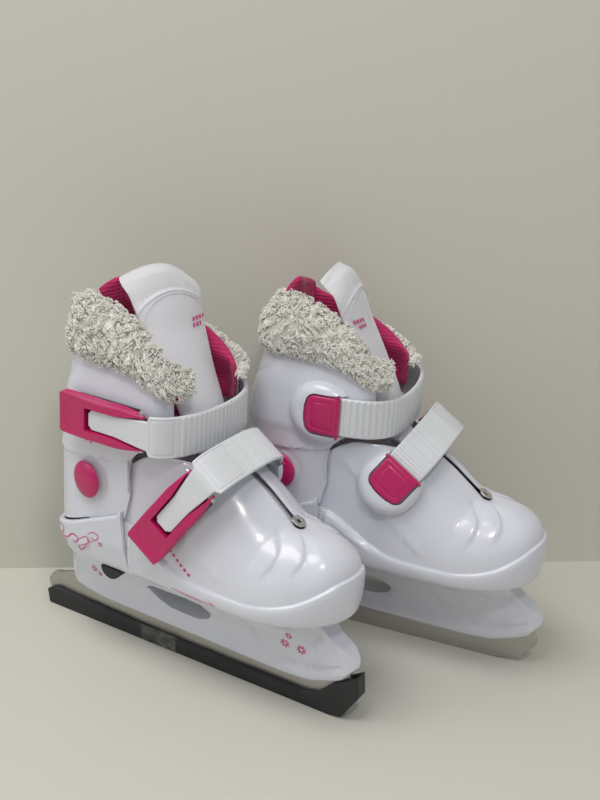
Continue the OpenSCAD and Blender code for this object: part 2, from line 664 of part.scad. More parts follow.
module blade_guard() {
    color([0.07, 0.07, 0.08]) difference() {
        across(-guard_w / 2, guard_w / 2) guard_profile(false);
        translate([0, 0, -0.1]) across(-blade_t / 2 - 0.15, blade_t / 2 + 0.15)
            guard_profile(true);
    }
}

module guard_tape() {
    color([0.8, 0.8, 0.76]) for (y = [-guard_w / 2 - 0.25, guard_w / 2])
        translate([-38, y, -guard_floor + 0.3]) cube([28, 0.25, 12]);
}

// ---- the pair ----

pair_shift = [0.174, 0];        // puts the middle of the pair's box over the origin

module part_of(p) {
    if (p == "blade") blade();
    if (p == "blade_holder") blade_holder();
    if (p == "blade_pins") blade_pins();
    if (p == "chassis_screws") chassis_screws();
    if (p == "heel_shell") heel_shell();
    if (p == "footbed") footbed();
    if (p == "liner_foot") liner_foot();
    if (p == "tongue_lower") tongue_lower();
    if (p == "ankle_rivets") ankle_rivets();
    if (p == "size_button") size_button();
    if (p == "toe_shell") toe_shell();
    if (p == "toe_rivets") toe_rivets();
    if (p == "lower_strap") lower_strap();
    if (p == "lower_buckle_base") lower_buckle_base();
    if (p == "lower_pivot_pins") lower_pivot_pins();
    if (p == "lower_clamp_housing") lower_clamp_housing();
    if (p == "lower_lever") lower_lever();
    if (p == "lower_clamp") lower_clamp();
    if (p == "cuff_shell") cuff_shell();
    if (p == "cuff_rivets") cuff_rivets();
    if (p == "liner_collar") liner_collar();
    if (p == "fur_collar") fur_collar();
    if (p == "tongue_upper") tongue_upper();
    if (p == "upper_strap") upper_strap();
    if (p == "upper_buckle_base") upper_buckle_base();
    if (p == "upper_pivot_pins") upper_pivot_pins();
    if (p == "upper_clamp_housing") upper_clamp_housing();
    if (p == "upper_lever") upper_lever();
    if (p == "upper_clamp") upper_clamp();
}

// The right skate stands on its guard, behind and to the right; the left one on its blade
module place(side) {
    translate([pair_shift[0], pair_shift[1], 0]) if (side == "right")
        translate([-stagger / 2, -pair_spacing / 2, guard_floor]) rotate(-toe_out) children();
    else
        translate([stagger / 2, pair_spacing / 2, 0]) rotate(toe_out) mirror([0, 1, 0]) children();
}

for (side = sides) for (p = parts)
    place(side) part_of(p);
place("right") blade_guard();
place("right") guard_tape();
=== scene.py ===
import math

import bmesh
import bpy
import numpy as np
from mathutils import Matrix, Vector
from mathutils.bvhtree import BVHTree


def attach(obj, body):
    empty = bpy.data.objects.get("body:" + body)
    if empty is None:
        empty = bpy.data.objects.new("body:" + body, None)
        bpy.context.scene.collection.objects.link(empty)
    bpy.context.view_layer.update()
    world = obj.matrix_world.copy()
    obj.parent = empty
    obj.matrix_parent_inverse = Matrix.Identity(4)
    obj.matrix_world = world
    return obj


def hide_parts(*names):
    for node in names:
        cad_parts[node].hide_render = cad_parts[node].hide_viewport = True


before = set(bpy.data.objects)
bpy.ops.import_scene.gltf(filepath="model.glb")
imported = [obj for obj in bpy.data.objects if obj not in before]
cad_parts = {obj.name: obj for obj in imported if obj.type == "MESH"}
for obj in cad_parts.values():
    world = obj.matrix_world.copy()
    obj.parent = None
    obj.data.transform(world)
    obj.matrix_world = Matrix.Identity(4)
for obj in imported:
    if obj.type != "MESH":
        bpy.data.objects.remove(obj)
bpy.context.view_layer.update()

# Everything on a skate is drawn for the right foot in millimetres: X to the toe, Y to the inner
# side of the foot, Z up from the blade's running edge. `stand` puts it in the frame, in metres.
MM = 0.001
SIDES = ("right", "left")
SPACING, STAGGER, TOE_OUT, PAIR_SHIFT = 96, 80, 4.85, 0.174
GUARD_FLOOR = 4

# Driving sizes of the boot, as in the CAD
BOOT_HALF_W, SOLE_Z, WALL = 42.5, 63.5, 2.2
ANKLE = (-54.0, 120.0)
CUFF_HALF_W, FLAP_HALF_W = 40.0, 37.3
TOE_X, TOE_FRONT, HEEL_X, HEEL_BACK = 58.0, 114.0, -58.0, -91.0
SHELL_OPEN_X = -22.8
RIVET_X, CREST_END = 71.0, 3.6
STRAP_W = 25.0


# ---------------------------------------------------------------- lines and surfaces

def line_of(pairs):
    """A smooth line through (place, value) pairs, as a function of the place."""
    xs, ys = np.array(pairs, float).T
    slope = np.diff(ys) / np.diff(xs)
    lean = np.concatenate([slope[:1], np.zeros(len(xs) - 2), slope[-1:]])
    for i in range(1, len(xs) - 1):
        a, b = slope[i - 1], slope[i]
        lean[i] = 0 if a * b <= 0 else 2 * a * b / (a + b)

    def value(x):
        x = np.clip(x, xs[0], xs[-1])
        i = np.clip(np.searchsorted(xs, x, side="right") - 1, 0, len(xs) - 2)
        h = xs[i + 1] - xs[i]
        t = (x - xs[i]) / h
        return ((1 + 2 * t) * (1 - t) ** 2 * ys[i] + t * (1 - t) ** 2 * h * lean[i]
                + t * t * (3 - 2 * t) * ys[i + 1] + t * t * (t - 1) * h * lean[i + 1])
    return value


def smooth_path(points, count):
    """`count` evenly spaced points on a smooth curve through the given ones."""
    p = np.array(points, float)
    along = np.concatenate([[0], np.cumsum(np.linalg.norm(np.diff(p, axis=0), axis=1) ** 0.5)])
    lean = np.gradient(p, along, axis=0)
    u = np.linspace(0, along[-1], count * 6)
    i = np.clip(np.searchsorted(along, u, side="right") - 1, 0, len(p) - 2)
    h = (along[i + 1] - along[i])[:, None]
    t = (u[:, None] - along[i][:, None]) / h
    fine = ((1 + 2 * t) * (1 - t) ** 2 * p[i] + t * (1 - t) ** 2 * h * lean[i]
            + t * t * (3 - 2 * t) * p[i + 1] + t * t * (t - 1) * h * lean[i + 1])
    return evenly(fine, count)


def evenly(p, count):
    """The polyline p again, with `count` evenly spaced points."""
    far = np.concatenate([[0], np.cumsum(np.linalg.norm(np.diff(p, axis=0), axis=1))])
    u = np.linspace(0, far[-1], count)
    return np.stack([np.interp(u, far, p[:, k]) for k in range(p.shape[1])], axis=1)


def rounded(p, count, radius):
    """The polyline p with its corners rounded off, at `count` points closer together at corners."""
    fine = evenly(np.array(p, float), 400)
    step = np.linalg.norm(np.diff(fine, axis=0), axis=1).sum() / 399
    reach = max(1, int(radius / step))
    weights = np.hanning(2 * reach + 3)[1:-1]
    weights /= weights.sum()
    padded = np.concatenate([2 * fine[:1] - fine[reach:0:-1], fine,
                             2 * fine[-1:] - fine[-2:-reach - 2:-1]])
    soft = np.stack([np.convolve(padded[:, k], weights, "valid")
                     for k in range(fine.shape[1])], axis=1)
    soft[0], soft[-1] = fine[0], fine[-1]
    turn = np.zeros(len(soft))
    turn[1:-1] = np.linalg.norm(soft[2:] - 2 * soft[1:-1] + soft[:-2], axis=1) / step
    pace = np.cumsum(1 + 9 * turn / (turn.max() + 1e-9))
    u = np.linspace(pace[0], pace[-1], count)
    return np.stack([np.interp(u, pace, soft[:, k]) for k in range(soft.shape[1])], axis=1)


def ease(t):
    """0 below 0, 1 above 1, and a soft S between."""
    t = np.clip(t, 0, 1)
    return t * t * (3 - 2 * t)


def circle(count):
    """Angles of `count` evenly spaced places round a circle."""
    return np.linspace(0, 2 * math.pi, count + 1)[:-1]


def unit(v, tiny=0.0):
    """The vectors v at length 1."""
    return v / (np.linalg.norm(v, axis=-1, keepdims=True) + tiny)


def squared(wave, power):
    """A sine or cosine whose curve is squared off."""
    return np.sign(wave) * abs(wave) ** power


def distance(path, a, b):
    """How far the points (a, b) are from a polyline, and how far along it they lie, 0 to 1."""
    p = np.array(path, float)
    best = np.full(np.shape(a), 1e9)
    place = np.zeros(np.shape(a))
    for k in range(len(p) - 1):
        d = p[k + 1] - p[k]
        t = np.clip(((a - p[k, 0]) * d[0] + (b - p[k, 1]) * d[1]) / (d @ d), 0, 1)
        r = np.hypot(a - p[k, 0] - t * d[0], b - p[k, 1] - t * d[1])
        near = r < best
        best = np.where(near, r, best)
        place = np.where(near, (k + t) / (len(p) - 1), place)
    return best, place


def groove(path, a, b, width, depth, fade=0.08):
    """Depth of a rounded groove that follows a path and fades out at its ends."""
    r, t = distance(path, a, b)
    ends = ease(t / fade) * ease((1 - t) / fade) if fade else 1
    return depth * np.exp(-(r / width) ** 2) * ends


def super_radius(along, wide, angle, power):
    return 1 / ((abs(np.cos(angle)) / along) ** power
                + (abs(np.sin(angle)) / wide) ** power) ** (1 / power)


def normals(grid, ring=False):
    """Unit normals of a grid of points, pointing away from the boot's middle line."""
    g = np.concatenate([grid[-1:], grid, grid[:1]]) if ring else grid
    du = np.gradient(g, axis=0)
    du = du[1:-1] if ring else du
    dv = np.gradient(grid, axis=1)
    n = unit(np.cross(du, dv), 1e-12)
    middle = grid.reshape(-1, 3).mean(0)
    middle[1] = 0
    return n * np.sign(((grid - middle) * n).sum())


def joined(outer, inner, ring=False):
    """Rows down the boot's outer side, then those of its inner side, which were drawn outside."""
    far = inner[-2:0:-1].copy() if ring else inner[-2::-1].copy()
    far[..., 1] *= -1
    return np.concatenate([outer, far])


def mirrored(half, ring=False):
    """Rows on the outer side followed by the same rows on the inner side."""
    return joined(half, half, ring)


def across(half):
    """An outline drawn on one side of the boot, closed by its copy on the other side."""
    return half + [(x, -y) for x, y in half[-2::-1]]


def over_line(line, x, z):
    """How far z lies above a polyline of (x, z) points."""
    return z - np.interp(x, *zip(*line))


class Mesh:
    """Points and faces collected piece by piece, in the right foot's millimetres."""

    def __init__(self):
        self.points, self.faces, self.marks = [], [], []

    def add(self, points, faces, mark=0):
        start = len(self.points)
        self.points += [tuple(map(float, p)) for p in points]
        self.faces += [tuple(start + i for i in f) for f in faces]
        self.marks += [mark] * len(faces)
        return self

    def sheet(self, grid, ring=False, closed=False, mark=0):
        """A grid of points as faces; ring joins the last row to the first, closed the columns."""
        r, c = grid.shape[:2]
        rows = [(i * c, (i + 1) % r * c) for i in range(r if ring else r - 1)]
        columns = [(j, (j + 1) % c) for j in range(c if closed else c - 1)]
        faces = [(a + j, b + j, b + k, a + k) for a, b in rows for j, k in columns]
        return self.add(grid.reshape(-1, 3), faces, mark)

    def wall(self, outer, inner, ring=False):
        """A closed solid between an outer and an inner grid of points."""
        both = np.concatenate([outer, inner[:, ::-1]], axis=1)
        self.sheet(both, ring=ring, closed=True)
        if not ring:
            r, c = outer.shape[:2]
            start = len(self.points) - r * 2 * c
            for row in (0, r - 1):
                base = start + row * 2 * c
                for j in range(c - 1):
                    self.faces.append((base + j, base + j + 1, base + 2 * c - 2 - j,
                                       base + 2 * c - 1 - j))
                    self.marks.append(0)
        return self

    def bar(self, loops, mark=0):
        """A solid through closed loops of points, with a fan at each end."""
        self.sheet(loops, closed=True, mark=mark)
        r, c = loops.shape[:2]
        start = len(self.points) - r * c
        for row in (0, r - 1):
            base = start + row * c
            self.points.append(tuple(loops[row].mean(0)))
            tip = len(self.points) - 1
            for j in range(c):
                self.faces.append((base + j, base + (j + 1) % c, tip))
                self.marks.append(mark)
        return self

    def plate(self, low, high):
        """A flat plate between an outline and its copy."""
        n = len(low)
        sides = [(i, (i + 1) % n, n + (i + 1) % n, n + i) for i in range(n)]
        return self.add(low + high, [tuple(range(n)), tuple(range(n, 2 * n))] + sides)

    def prism(self, outline, y0, y1):
        """A flat plate with an outline of (x, z) points, from y0 to y1."""
        return self.plate(*([(x, y, z) for x, z in outline] for y in (y0, y1)))

    def slab(self, outline, z0, z1):
        """A flat plate with an outline of (x, y) points, from z0 to z1."""
        return self.plate(*([(x, y, z) for x, y in outline] for z in (z0, z1)))

    def turned(self, matrix):
        self.points = [tuple(matrix @ Vector(p)) for p in self.points]
        return self


def stand(side):
    """Matrix from the right foot's millimetres to the frame, for one skate of the pair."""
    s = 1 if side == "left" else -1
    place = Matrix.Translation(((PAIR_SHIFT + s * STAGGER / 2) * MM, s * SPACING / 2 * MM,
                                0 if side == "left" else GUARD_FLOOR * MM))
    turn = Matrix.Rotation(math.radians(s * TOE_OUT), 4, "Z")
    flip = Matrix.Diagonal((1, -1 if side == "left" else 1, 1, 1))
    return place @ turn @ flip @ Matrix.Scale(MM, 4)


def placed_mesh(name, side, mesh, weld=True, solid=True):
    """A Blender mesh of the collected points, at its own place and size in the frame."""
    data = bpy.data.meshes.new(name)
    matrix = stand(side)
    data.from_pydata([matrix @ Vector(p) for p in mesh.points], [], mesh.faces)
    data.polygons.foreach_set("material_index", mesh.marks)
    bm = bmesh.new()
    bm.from_mesh(data)
    if weld:
        bmesh.ops.remove_doubles(bm, verts=bm.verts, dist=1e-6)
    if solid:
        bmesh.ops.recalc_face_normals(bm, faces=bm.faces)
    elif side == "left":
        bmesh.ops.reverse_faces(bm, faces=bm.faces)
    bm.to_mesh(data)
    bm.free()
    return data


def put(name, data):
    """A new object with the given data, linked to the scene."""
    obj = bpy.data.objects.new(name, data)
    bpy.context.scene.collection.objects.link(obj)
    return obj


def subdivide(obj, levels):
    sub = obj.modifiers.new("smooth", "SUBSURF")
    sub.levels = sub.render_levels = levels


def soften(obj, degrees):
    """Smooth shading, in which edges sharper than the angle stay crisp."""
    obj.data.shade_smooth()
    obj.data.set_sharp_from_angle(angle=math.radians(degrees))


def build(name, side, mesh, finishes, body, replaces=(), solid=True, levels=0,
          bevel=0.0, sharp=40):
    """Makes an object of the collected mesh, gives it its finishes and lets it ride on its body."""
    data = placed_mesh(name, side, mesh, solid=solid)
    for finish in finishes:
        data.materials.append(finish)
    obj = put(name, data)
    if bevel:
        add_bevel(obj, bevel)
    if levels:
        subdivide(obj, levels)
        data.shade_smooth()
    else:
        soften(obj, sharp)
    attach(obj, body)
    if replaces:
        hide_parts(*replaces)
    return obj


def add_bevel(obj, width, segments=2, angle=30):
    """Rounds an object's sharp edges off by `width` millimetres."""
    bevel = obj.modifiers.new("edges", "BEVEL")
    bevel.width = width * MM
    bevel.segments = segments
    bevel.limit_method = "ANGLE"
    bevel.angle_limit = math.radians(angle)
    bevel.harden_normals = True


def cut(obj, mesh, side):
    """Cuts a closed mesh out of an object and applies the result."""
    cutter = put("cutter", placed_mesh("cutter", side, mesh, weld=False))
    boolean = obj.modifiers.new("cut", "BOOLEAN")
    boolean.operation = "DIFFERENCE"
    boolean.solver = "EXACT"
    boolean.object = cutter
    bpy.context.view_layer.update()
    made = bpy.data.meshes.new_from_object(obj.evaluated_get(bpy.context.evaluated_depsgraph_get()))
    obj.modifiers.remove(boolean)
    obj.data = made
    bpy.data.objects.remove(cutter)


# ---------------------------------------------------------------- shared effects and finishes

def effect(name, inputs, outputs):
    """An empty shader node group with named float inputs and outputs."""
    group = bpy.data.node_groups.new(name, "ShaderNodeTree")
    for label, value in inputs:
        socket = group.interface.new_socket(label, in_out="INPUT", socket_type="NodeSocketFloat")
        socket.default_value = value
    for label in outputs:
        group.interface.new_socket(label, in_out="OUTPUT", socket_type="NodeSocketFloat")
    return group, group.nodes.new("NodeGroupInput"), group.nodes.new("NodeGroupOutput")


def feed(tree, socket, value):
    """Gives a node's socket a constant, or a link from another node."""
    if isinstance(value, (int, float)):
        socket.default_value = value
    else:
        tree.links.new(value, socket)


def math_node(tree, operation, a, b):
    node = tree.nodes.new("ShaderNodeMath")
    node.operation = operation
    feed(tree, node.inputs[0], a)
    feed(tree, node.inputs[1], b)
    return node.outputs[0]


def sine(tree, a, b):
    """The sine of a times b."""
    node = tree.nodes.new("ShaderNodeMath")
    node.operation = "SINE"
    feed(tree, node.inputs[0], math_node(tree, "MULTIPLY", a, b))
    return node.outputs[0]


def object_place(tree):
    return tree.nodes.new("ShaderNodeTexCoord").outputs["Object"]


def noise_node(tree, vector, scale, detail=2.0, roughness=0.5):
    node = tree.nodes.new("ShaderNodeTexNoise")
    tree.links.new(vector, node.inputs["Vector"])
    feed(tree, node.inputs["Scale"], scale)
    node.inputs["Detail"].default_value = detail
    node.inputs["Roughness"].default_value = roughness
    return node.outputs["Fac"]


def moulded_skin():
    """Moulded plastic: a faint orange peel and a gloss that handling has made uneven."""
    g, i, o = effect("moulded_skin", [("Peel", 1.0), ("Gloss", 0.2), ("Handling", 0.1)],
                     ["Height", "Roughness"])
    where = object_place(g)
    peel = noise_node(g, where, 420.0)
    broad = noise_node(g, where, 38.0, 3.0)
    g.links.new(math_node(g, "MULTIPLY", peel, i.outputs["Peel"]), o.inputs["Height"])
    smudge = math_node(g, "MULTIPLY", broad, i.outputs["Handling"])
    g.links.new(math_node(g, "ADD", smudge, i.outputs["Gloss"]), o.inputs["Roughness"])
    return g


def tint_drift():
    """A mask that drifts slowly over a surface, for a colour that isn't quite even."""
    g, i, o = effect("tint_drift", [("Scale", 20.0), ("Contrast", 1.0)], ["Mask"])
    drift = noise_node(g, object_place(g), i.outputs["Scale"], 4.0, 0.6)
    centred = math_node(g, "SUBTRACT", drift, 0.5)
    spread = math_node(g, "MULTIPLY", centred, i.outputs["Contrast"])
    g.links.new(math_node(g, "ADD", spread, 0.5), o.inputs["Mask"])
    return g


def knit_ribs():
    """Fine parallel ribs of a knit, with the stitches that cross them, and a mask of painted shade
    that is darker in the rib troughs.
    """
    g, i, o = effect("knit_ribs", [("Pitch", 0.0013), ("Upright", 0.0), ("Stitch", 0.4)],
                     ["Height", "Painted_Shade"])
    parts = g.nodes.new("ShaderNodeSeparateXYZ")
    g.links.new(object_place(g), parts.inputs[0])
    sideways = math_node(g, "ADD", parts.outputs["X"], parts.outputs["Y"])
    level = math_node(g, "SUBTRACT", 1.0, i.outputs["Upright"])
    run = math_node(g, "ADD", math_node(g, "MULTIPLY", parts.outputs["Z"], level),
                    math_node(g, "MULTIPLY", sideways, i.outputs["Upright"]))
    cross = math_node(g, "ADD", math_node(g, "MULTIPLY", sideways, level),
                      math_node(g, "MULTIPLY", parts.outputs["Z"], i.outputs["Upright"]))
    turns = math_node(g, "DIVIDE", 6.2832, i.outputs["Pitch"])
    rib = sine(g, run, turns)
    loop = sine(g, cross, math_node(g, "MULTIPLY", turns, 1.3))
    height = math_node(g, "ADD", rib, math_node(g, "MULTIPLY", loop, i.outputs["Stitch"]))
    half = math_node(g, "MULTIPLY", height, 0.5)
    g.links.new(half, o.inputs["Height"])
    # The second output is painted shade: the rib height turned into a colour mask, darker in the
    # troughs and lighter on the crests.
    g.links.new(math_node(g, "ADD", math_node(g, "MULTIPLY", half, 0.5), 0.5), o.inputs["Painted_Shade"])
    return g


def brushed_grain():
    """Grinding lines along the blade: long thin streaks."""
    g, i, o = effect("brushed_grain", [("Fineness", 1.0), ("Depth", 1.0)], ["Height", "Streak"])
    stretch = g.nodes.new("ShaderNodeMapping")
    g.links.new(object_place(g), stretch.inputs["Vector"])
    stretch.inputs["Scale"].default_value = (9.0, 300.0, 900.0)
    streak = noise_node(g, stretch.outputs[0], i.outputs["Fineness"], 3.0)
    g.links.new(math_node(g, "MULTIPLY", streak, i.outputs["Depth"]), o.inputs["Height"])
    g.links.new(streak, o.inputs["Streak"])
    return g


SKIN, DRIFT, RIBS, GRAIN = moulded_skin(), tint_drift(), knit_ribs(), brushed_grain()


def finish(name, roughness=0.4, metallic=0.0, **sockets):
    """A new material with a Principled shader whose constants are set on its own sockets."""
    mat = bpy.data.materials.new(name)
    mat.use_nodes = True
    shader = mat.node_tree.nodes["Principled BSDF"]
    shader.inputs["Roughness"].default_value = roughness
    shader.inputs["Metallic"].default_value = metallic
    for label, value in sockets.items():
        shader.inputs[label.replace("_", " ")].default_value = value
    return mat, mat.node_tree, shader


def place_group(tree, group, **values):
    node = tree.nodes.new("ShaderNodeGroup")
    node.node_tree = group
    for label, value in values.items():
        node.inputs[label].default_value = value
    return node


def tint(tree, shader, mask, dark, light):
    """Base colour that runs from dark to light with a mask."""
    mix = tree.nodes.new("ShaderNodeMix")
    mix.data_type = "RGBA"
    tree.links.new(mask, mix.inputs["Factor"])
    mix.inputs["A"].default_value = (*dark, 1)
    mix.inputs["B"].default_value = (*light, 1)
    tree.links.new(mix.outputs["Result"], shader.inputs["Base Color"])


def emboss(tree, shader, height, strength, depth):
    bump = tree.nodes.new("ShaderNodeBump")
    bump.inputs["Strength"].default_value = strength
    bump.inputs["Distance"].default_value = depth
    tree.links.new(height, bump.inputs["Height"])
    tree.links.new(bump.outputs["Normal"], shader.inputs["Normal"])


def plastic(name, dark, light, gloss, handling=0.1, peel=0.15, coat=0.0):
    """Moulded plastic with a slightly uneven colour and gloss."""
    mat, tree, shader = finish(name, gloss)
    if coat:
        shader.inputs["Coat Weight"].default_value = coat
        shader.inputs["Coat Roughness"].default_value = 0.08
    skin = place_group(tree, SKIN, Gloss=gloss, Handling=handling, Peel=1.0)
    tree.links.new(skin.outputs["Roughness"], shader.inputs["Roughness"])
    emboss(tree, shader, skin.outputs["Height"], peel, 0.0002)
    drift = place_group(tree, DRIFT, Scale=24.0, Contrast=1.2)
    tint(tree, shader, drift.outputs["Mask"], dark, light)
    return mat


def steel(name, dark, light, roughness, fineness):
    """Ground steel with streaks along its length."""
    mat, tree, shader = finish(name, roughness, 1.0)
    grain = place_group(tree, GRAIN, Fineness=fineness, Depth=1.0)
    emboss(tree, shader, grain.outputs["Height"], 0.25, 0.0001)
    tint(tree, shader, grain.outputs["Streak"], dark, light)
    uneven = math_node(tree, "MULTIPLY", grain.outputs["Streak"], 0.25)
    tree.links.new(math_node(tree, "ADD", uneven, roughness - 0.1), shader.inputs["Roughness"])
    return mat


def cloth(name, dark, light, pitch, upright=0.0, stitch=0.4, depth=0.0004, sheen=0.3,
          roughness=0.8):
    """Knitted or woven cloth with ribs at a real pitch, its colour darkened in the rib troughs as
    painted shade and drifting a little at random.
    """
    mat, tree, shader = finish(name, roughness, Sheen_Weight=sheen, Sheen_Roughness=0.4)
    knit = place_group(tree, RIBS, Pitch=pitch, Upright=upright, Stitch=stitch)
    emboss(tree, shader, knit.outputs["Height"], 0.6, depth)
    drift = place_group(tree, DRIFT, Scale=60.0, Contrast=0.8)
    # Colour mask: painted shade from the rib troughs, mixed with a random drift of tone.
    painted_rib_shade = math_node(tree, "MULTIPLY", knit.outputs["Painted_Shade"], 0.6)
    mask = math_node(tree, "ADD", painted_rib_shade, math_node(tree, "MULTIPLY", drift.outputs["Mask"], 0.4))
    tint(tree, shader, mask, dark, light)
    return mat


def wool(name):
    """Cream curls, lighter or a little yellower at random."""
    mat, tree, shader = finish(name, 0.9, Sheen_Weight=0.6, Sheen_Roughness=0.5,
                               Subsurface_Weight=0.4, Subsurface_Radius=(0.004, 0.0035, 0.003),
                               Subsurface_Scale=0.5)
    drift = place_group(tree, DRIFT, Scale=260.0, Contrast=2.0)
    tint(tree, shader, drift.outputs["Mask"], (0.78, 0.75, 0.66), (0.93, 0.92, 0.86))
    return mat


def clear_tape(name):
    """Clear sticky tape: thin, glossy and a little milky where it wrinkles."""
    mat, tree, shader = finish(name, 0.15)
    drift = place_group(tree, DRIFT, Scale=180.0, Contrast=2.5)
    tint(tree, shader, drift.outputs["Mask"], (0.10, 0.10, 0.10), (0.42, 0.42, 0.40))
    thin = math_node(tree, "MULTIPLY", drift.outputs["Mask"], 0.35)
    tree.links.new(math_node(tree, "ADD", thin, 0.10), shader.inputs["Alpha"])
    emboss(tree, shader, drift.outputs["Mask"], 0.5, 0.001)
    return mat


SHELL = plastic("white_shell_plastic", (0.67, 0.685, 0.76), (0.745, 0.76, 0.835), 0.2, 0.08,
                0.08, 0.3)
STRAP = plastic("white_strap_plastic", (0.66, 0.68, 0.71), (0.76, 0.78, 0.81), 0.36, 0.12, 0.3)
PINK = plastic("magenta_plastic", (0.47, 0.006, 0.10), (0.57, 0.010, 0.135), 0.3, 0.12, 0.2, 0.2)
BLACK = plastic("black_plastic", (0.008, 0.008, 0.010), (0.02, 0.02, 0.022), 0.38, 0.15, 0.4)
PRINT = plastic("printed_ink", (0.60, 0.05, 0.20), (0.72, 0.10, 0.30), 0.3, 0.1, 0.1)
BOARD = plastic("insole_board", (0.50, 0.50, 0.53), (0.62, 0.62, 0.65), 0.7, 0.1, 0.6)
BLADE = steel("ground_blade_steel", (0.36, 0.35, 0.33), (0.60, 0.585, 0.55), 0.34, 1.0)
FASTENER = steel("plated_fasteners", (0.55, 0.54, 0.52), (0.75, 0.74, 0.71), 0.25, 3.0)
PINK_KNIT = cloth("magenta_ribbed_lining", (0.40, 0.008, 0.085), (0.62, 0.03, 0.17), 0.0022,
                  sheen=0.2)
WHITE_KNIT = cloth("white_textured_lining", (0.60, 0.61, 0.65), (0.82, 0.83, 0.87), 0.0016,
                   stitch=1.0)
BAND_KNIT = cloth("ribbed_tongue_band", (0.60, 0.605, 0.63), (0.80, 0.805, 0.83), 0.0008, 1.0, 0.3,
                  0.00015)
SATIN = cloth("white_satin", (0.72, 0.72, 0.765), (0.78, 0.78, 0.825), 0.0006, 1.0, 0.6, 0.00004,
              0.5, 0.42)
WOOL = wool("cream_curly_wool")
TAPE = clear_tape("clear_sticky_tape")


# ---------------------------------------------------------------- the boot's own lines

ridge_z = line_of([(HEEL_BACK, 80), (-60, 91), (-27, 104.5), (-20, 107)])
rim_z = line_of([(-46, 103), (-21, 97), (-3, 87), (9, 81), (28, 75.5), (45, 74.5), (60, 74.5),
                 (75, 76), (88, 79), (98, 83.5), (106, 88.5), (111, 92), (114, 93)])
crest_z = line_of([(-46, 130), (-25, 137), (-16, 143), (-4, 147.2), (8, 146.8), (17, 144.2),
                   (28, 142.5), (40, 136), (50, 129.5), (60, 121.5), (71, 113.5), (78, 110)])
throat_y = line_of([(-46, 36), (-4, 35), (8, 31), (17, 24), (26, 9), (33, 2.5), (64, 2.5),
                    (RIVET_X, CREST_END)])
shoulder = line_of([(-21, 5.2), (-4, 5), (8, 3.2), (20, 1.8), (60, 1.7), (90, 2.4), (106, 2.8),
                    (114, 2.8)])
crest_x = line_of([(-46, -46), (0, 0), (20, 20), (33, 33.5), (46, 52.5), (TOE_X, RIVET_X)])
slide_room = line_of([(-4, 0), (-1, 4.2), (12, 5.4), (22, 5), (33, 3.6), (46, 2.2), (TOE_X, 1.7)])
cuff_w = line_of([(80, CUFF_HALF_W), (145, CUFF_HALF_W), (152, CUFF_HALF_W + 1),
                  (174, CUFF_HALF_W + 0.6), (197, CUFF_HALF_W - 2.5), (240, CUFF_HALF_W - 7)])
cuff_back = line_of([(80, -89.8), (100, -90.5), (130, -90), (150, -88), (172, -83.5), (197, -77),
                     (240, -70)])
rim_top = line_of([(HEEL_BACK, 203), (-54, 199), (-30, 198), (-15, 195), (4, 186)])
collar_top = line_of([(HEEL_BACK, 236), (-75, 232), (-50, 221), (-18, 209), (4, 190)])
collar_low = line_of([(-60, 138), (-46, 140), (-30, 150), (-10, 161), (4, 166)])


def toe_point(angle, inset=0.0):
    r = super_radius(TOE_FRONT - TOE_X - inset, BOOT_HALF_W - inset, angle, 2)
    return np.array([TOE_X + r * math.cos(angle), -r * math.sin(angle)])


def heel_point(angle, half_w=BOOT_HALF_W, inset=0.0):
    r = super_radius(HEEL_X - HEEL_BACK - inset, half_w - inset, angle, 2.5)
    return np.array([HEEL_X - r * math.cos(angle), -r * math.sin(angle)])


# ---------------------------------------------------------------- toe shell

BAND_COLUMNS, DOME_COLUMNS = 14, 34
FLAP_LOW, FLAP_RIM = 69, 80


def toe_column(start, end, low, rim, crest, lip, inset, steep, columns=None):
    """Points from the sole's edge up over the rounded band and the dome to the crest."""
    way = end - start
    far = np.linalg.norm(way)
    way = way / far
    up = rim - low
    reach = far + inset * steep
    tuck = min(1, up / 12)
    band = [(c * tuck + inset, low + up * z) for c, z in
            ((3.5, 0), (1.7, 0.08), (0.6, 0.28), (0, 0.6), (0.1, 0.84), (0.8, 0.97), (1.5, 1.0))]
    w = np.linspace(0.02, 1, 40) * math.pi / 2
    s = lip + inset + (reach - lip - inset) * (1 - np.cos(w) ** 0.9)
    top = crest - inset * (1 - 0.65 * steep)
    z = rim - 0.6 * min(1, lip / 2) + (top - rim + 0.6) * np.sin(w) ** 1.05
    profile = np.concatenate([np.array(band), np.stack([s, z], 1)])
    profile[-1, 0] = reach
    profile = rounded(profile, columns or BAND_COLUMNS + DOME_COLUMNS, 1.3)
    return np.column_stack([start[0] + way[0] * profile[:, 0], start[1] + way[1] * profile[:, 0],
                            profile[:, 1]])


def toe_side_column(x, inset=0.0, low=SOLE_Z + 1, flap=True, columns=None):
    cx = float(crest_x(x))
    flare = ease((x + 23.4) / 2.2) if flap else 1.0
    half_w = FLAP_HALF_W + (BOOT_HALF_W - FLAP_HALF_W) * flare
    return toe_column(np.array([x, -half_w]), np.array([cx, -float(throat_y(cx))]),
                      FLAP_LOW + (low - FLAP_LOW) * flare,
                      FLAP_RIM + (float(rim_z(x)) - FLAP_RIM) * flare,
                      float(crest_z(cx)), 0.2 + (float(shoulder(x)) - 0.2) * flare, inset,
                      float(throat_y(cx)) / 36, columns)


def toe_front_column(angle, inset=0.0, low=SOLE_Z + 1, columns=None):
    start = toe_point(angle)
    end = np.array([RIVET_X + CREST_END * math.cos(angle), -CREST_END * math.sin(angle)])
    return toe_column(start, end, low, float(rim_z(start[0])), float(crest_z(end[0])),
                      float(shoulder(start[0])), inset, 0, columns)


CREASE_1 = line_of([(5, 56), (12, 63), (20, 69.5), (26, 73.5), (31, 73), (36, 69), (42, 61)])
CREASE_2 = line_of([(3, 73), (9, 79), (15, 84.5), (22, 88), (28, 86), (33, 81)])


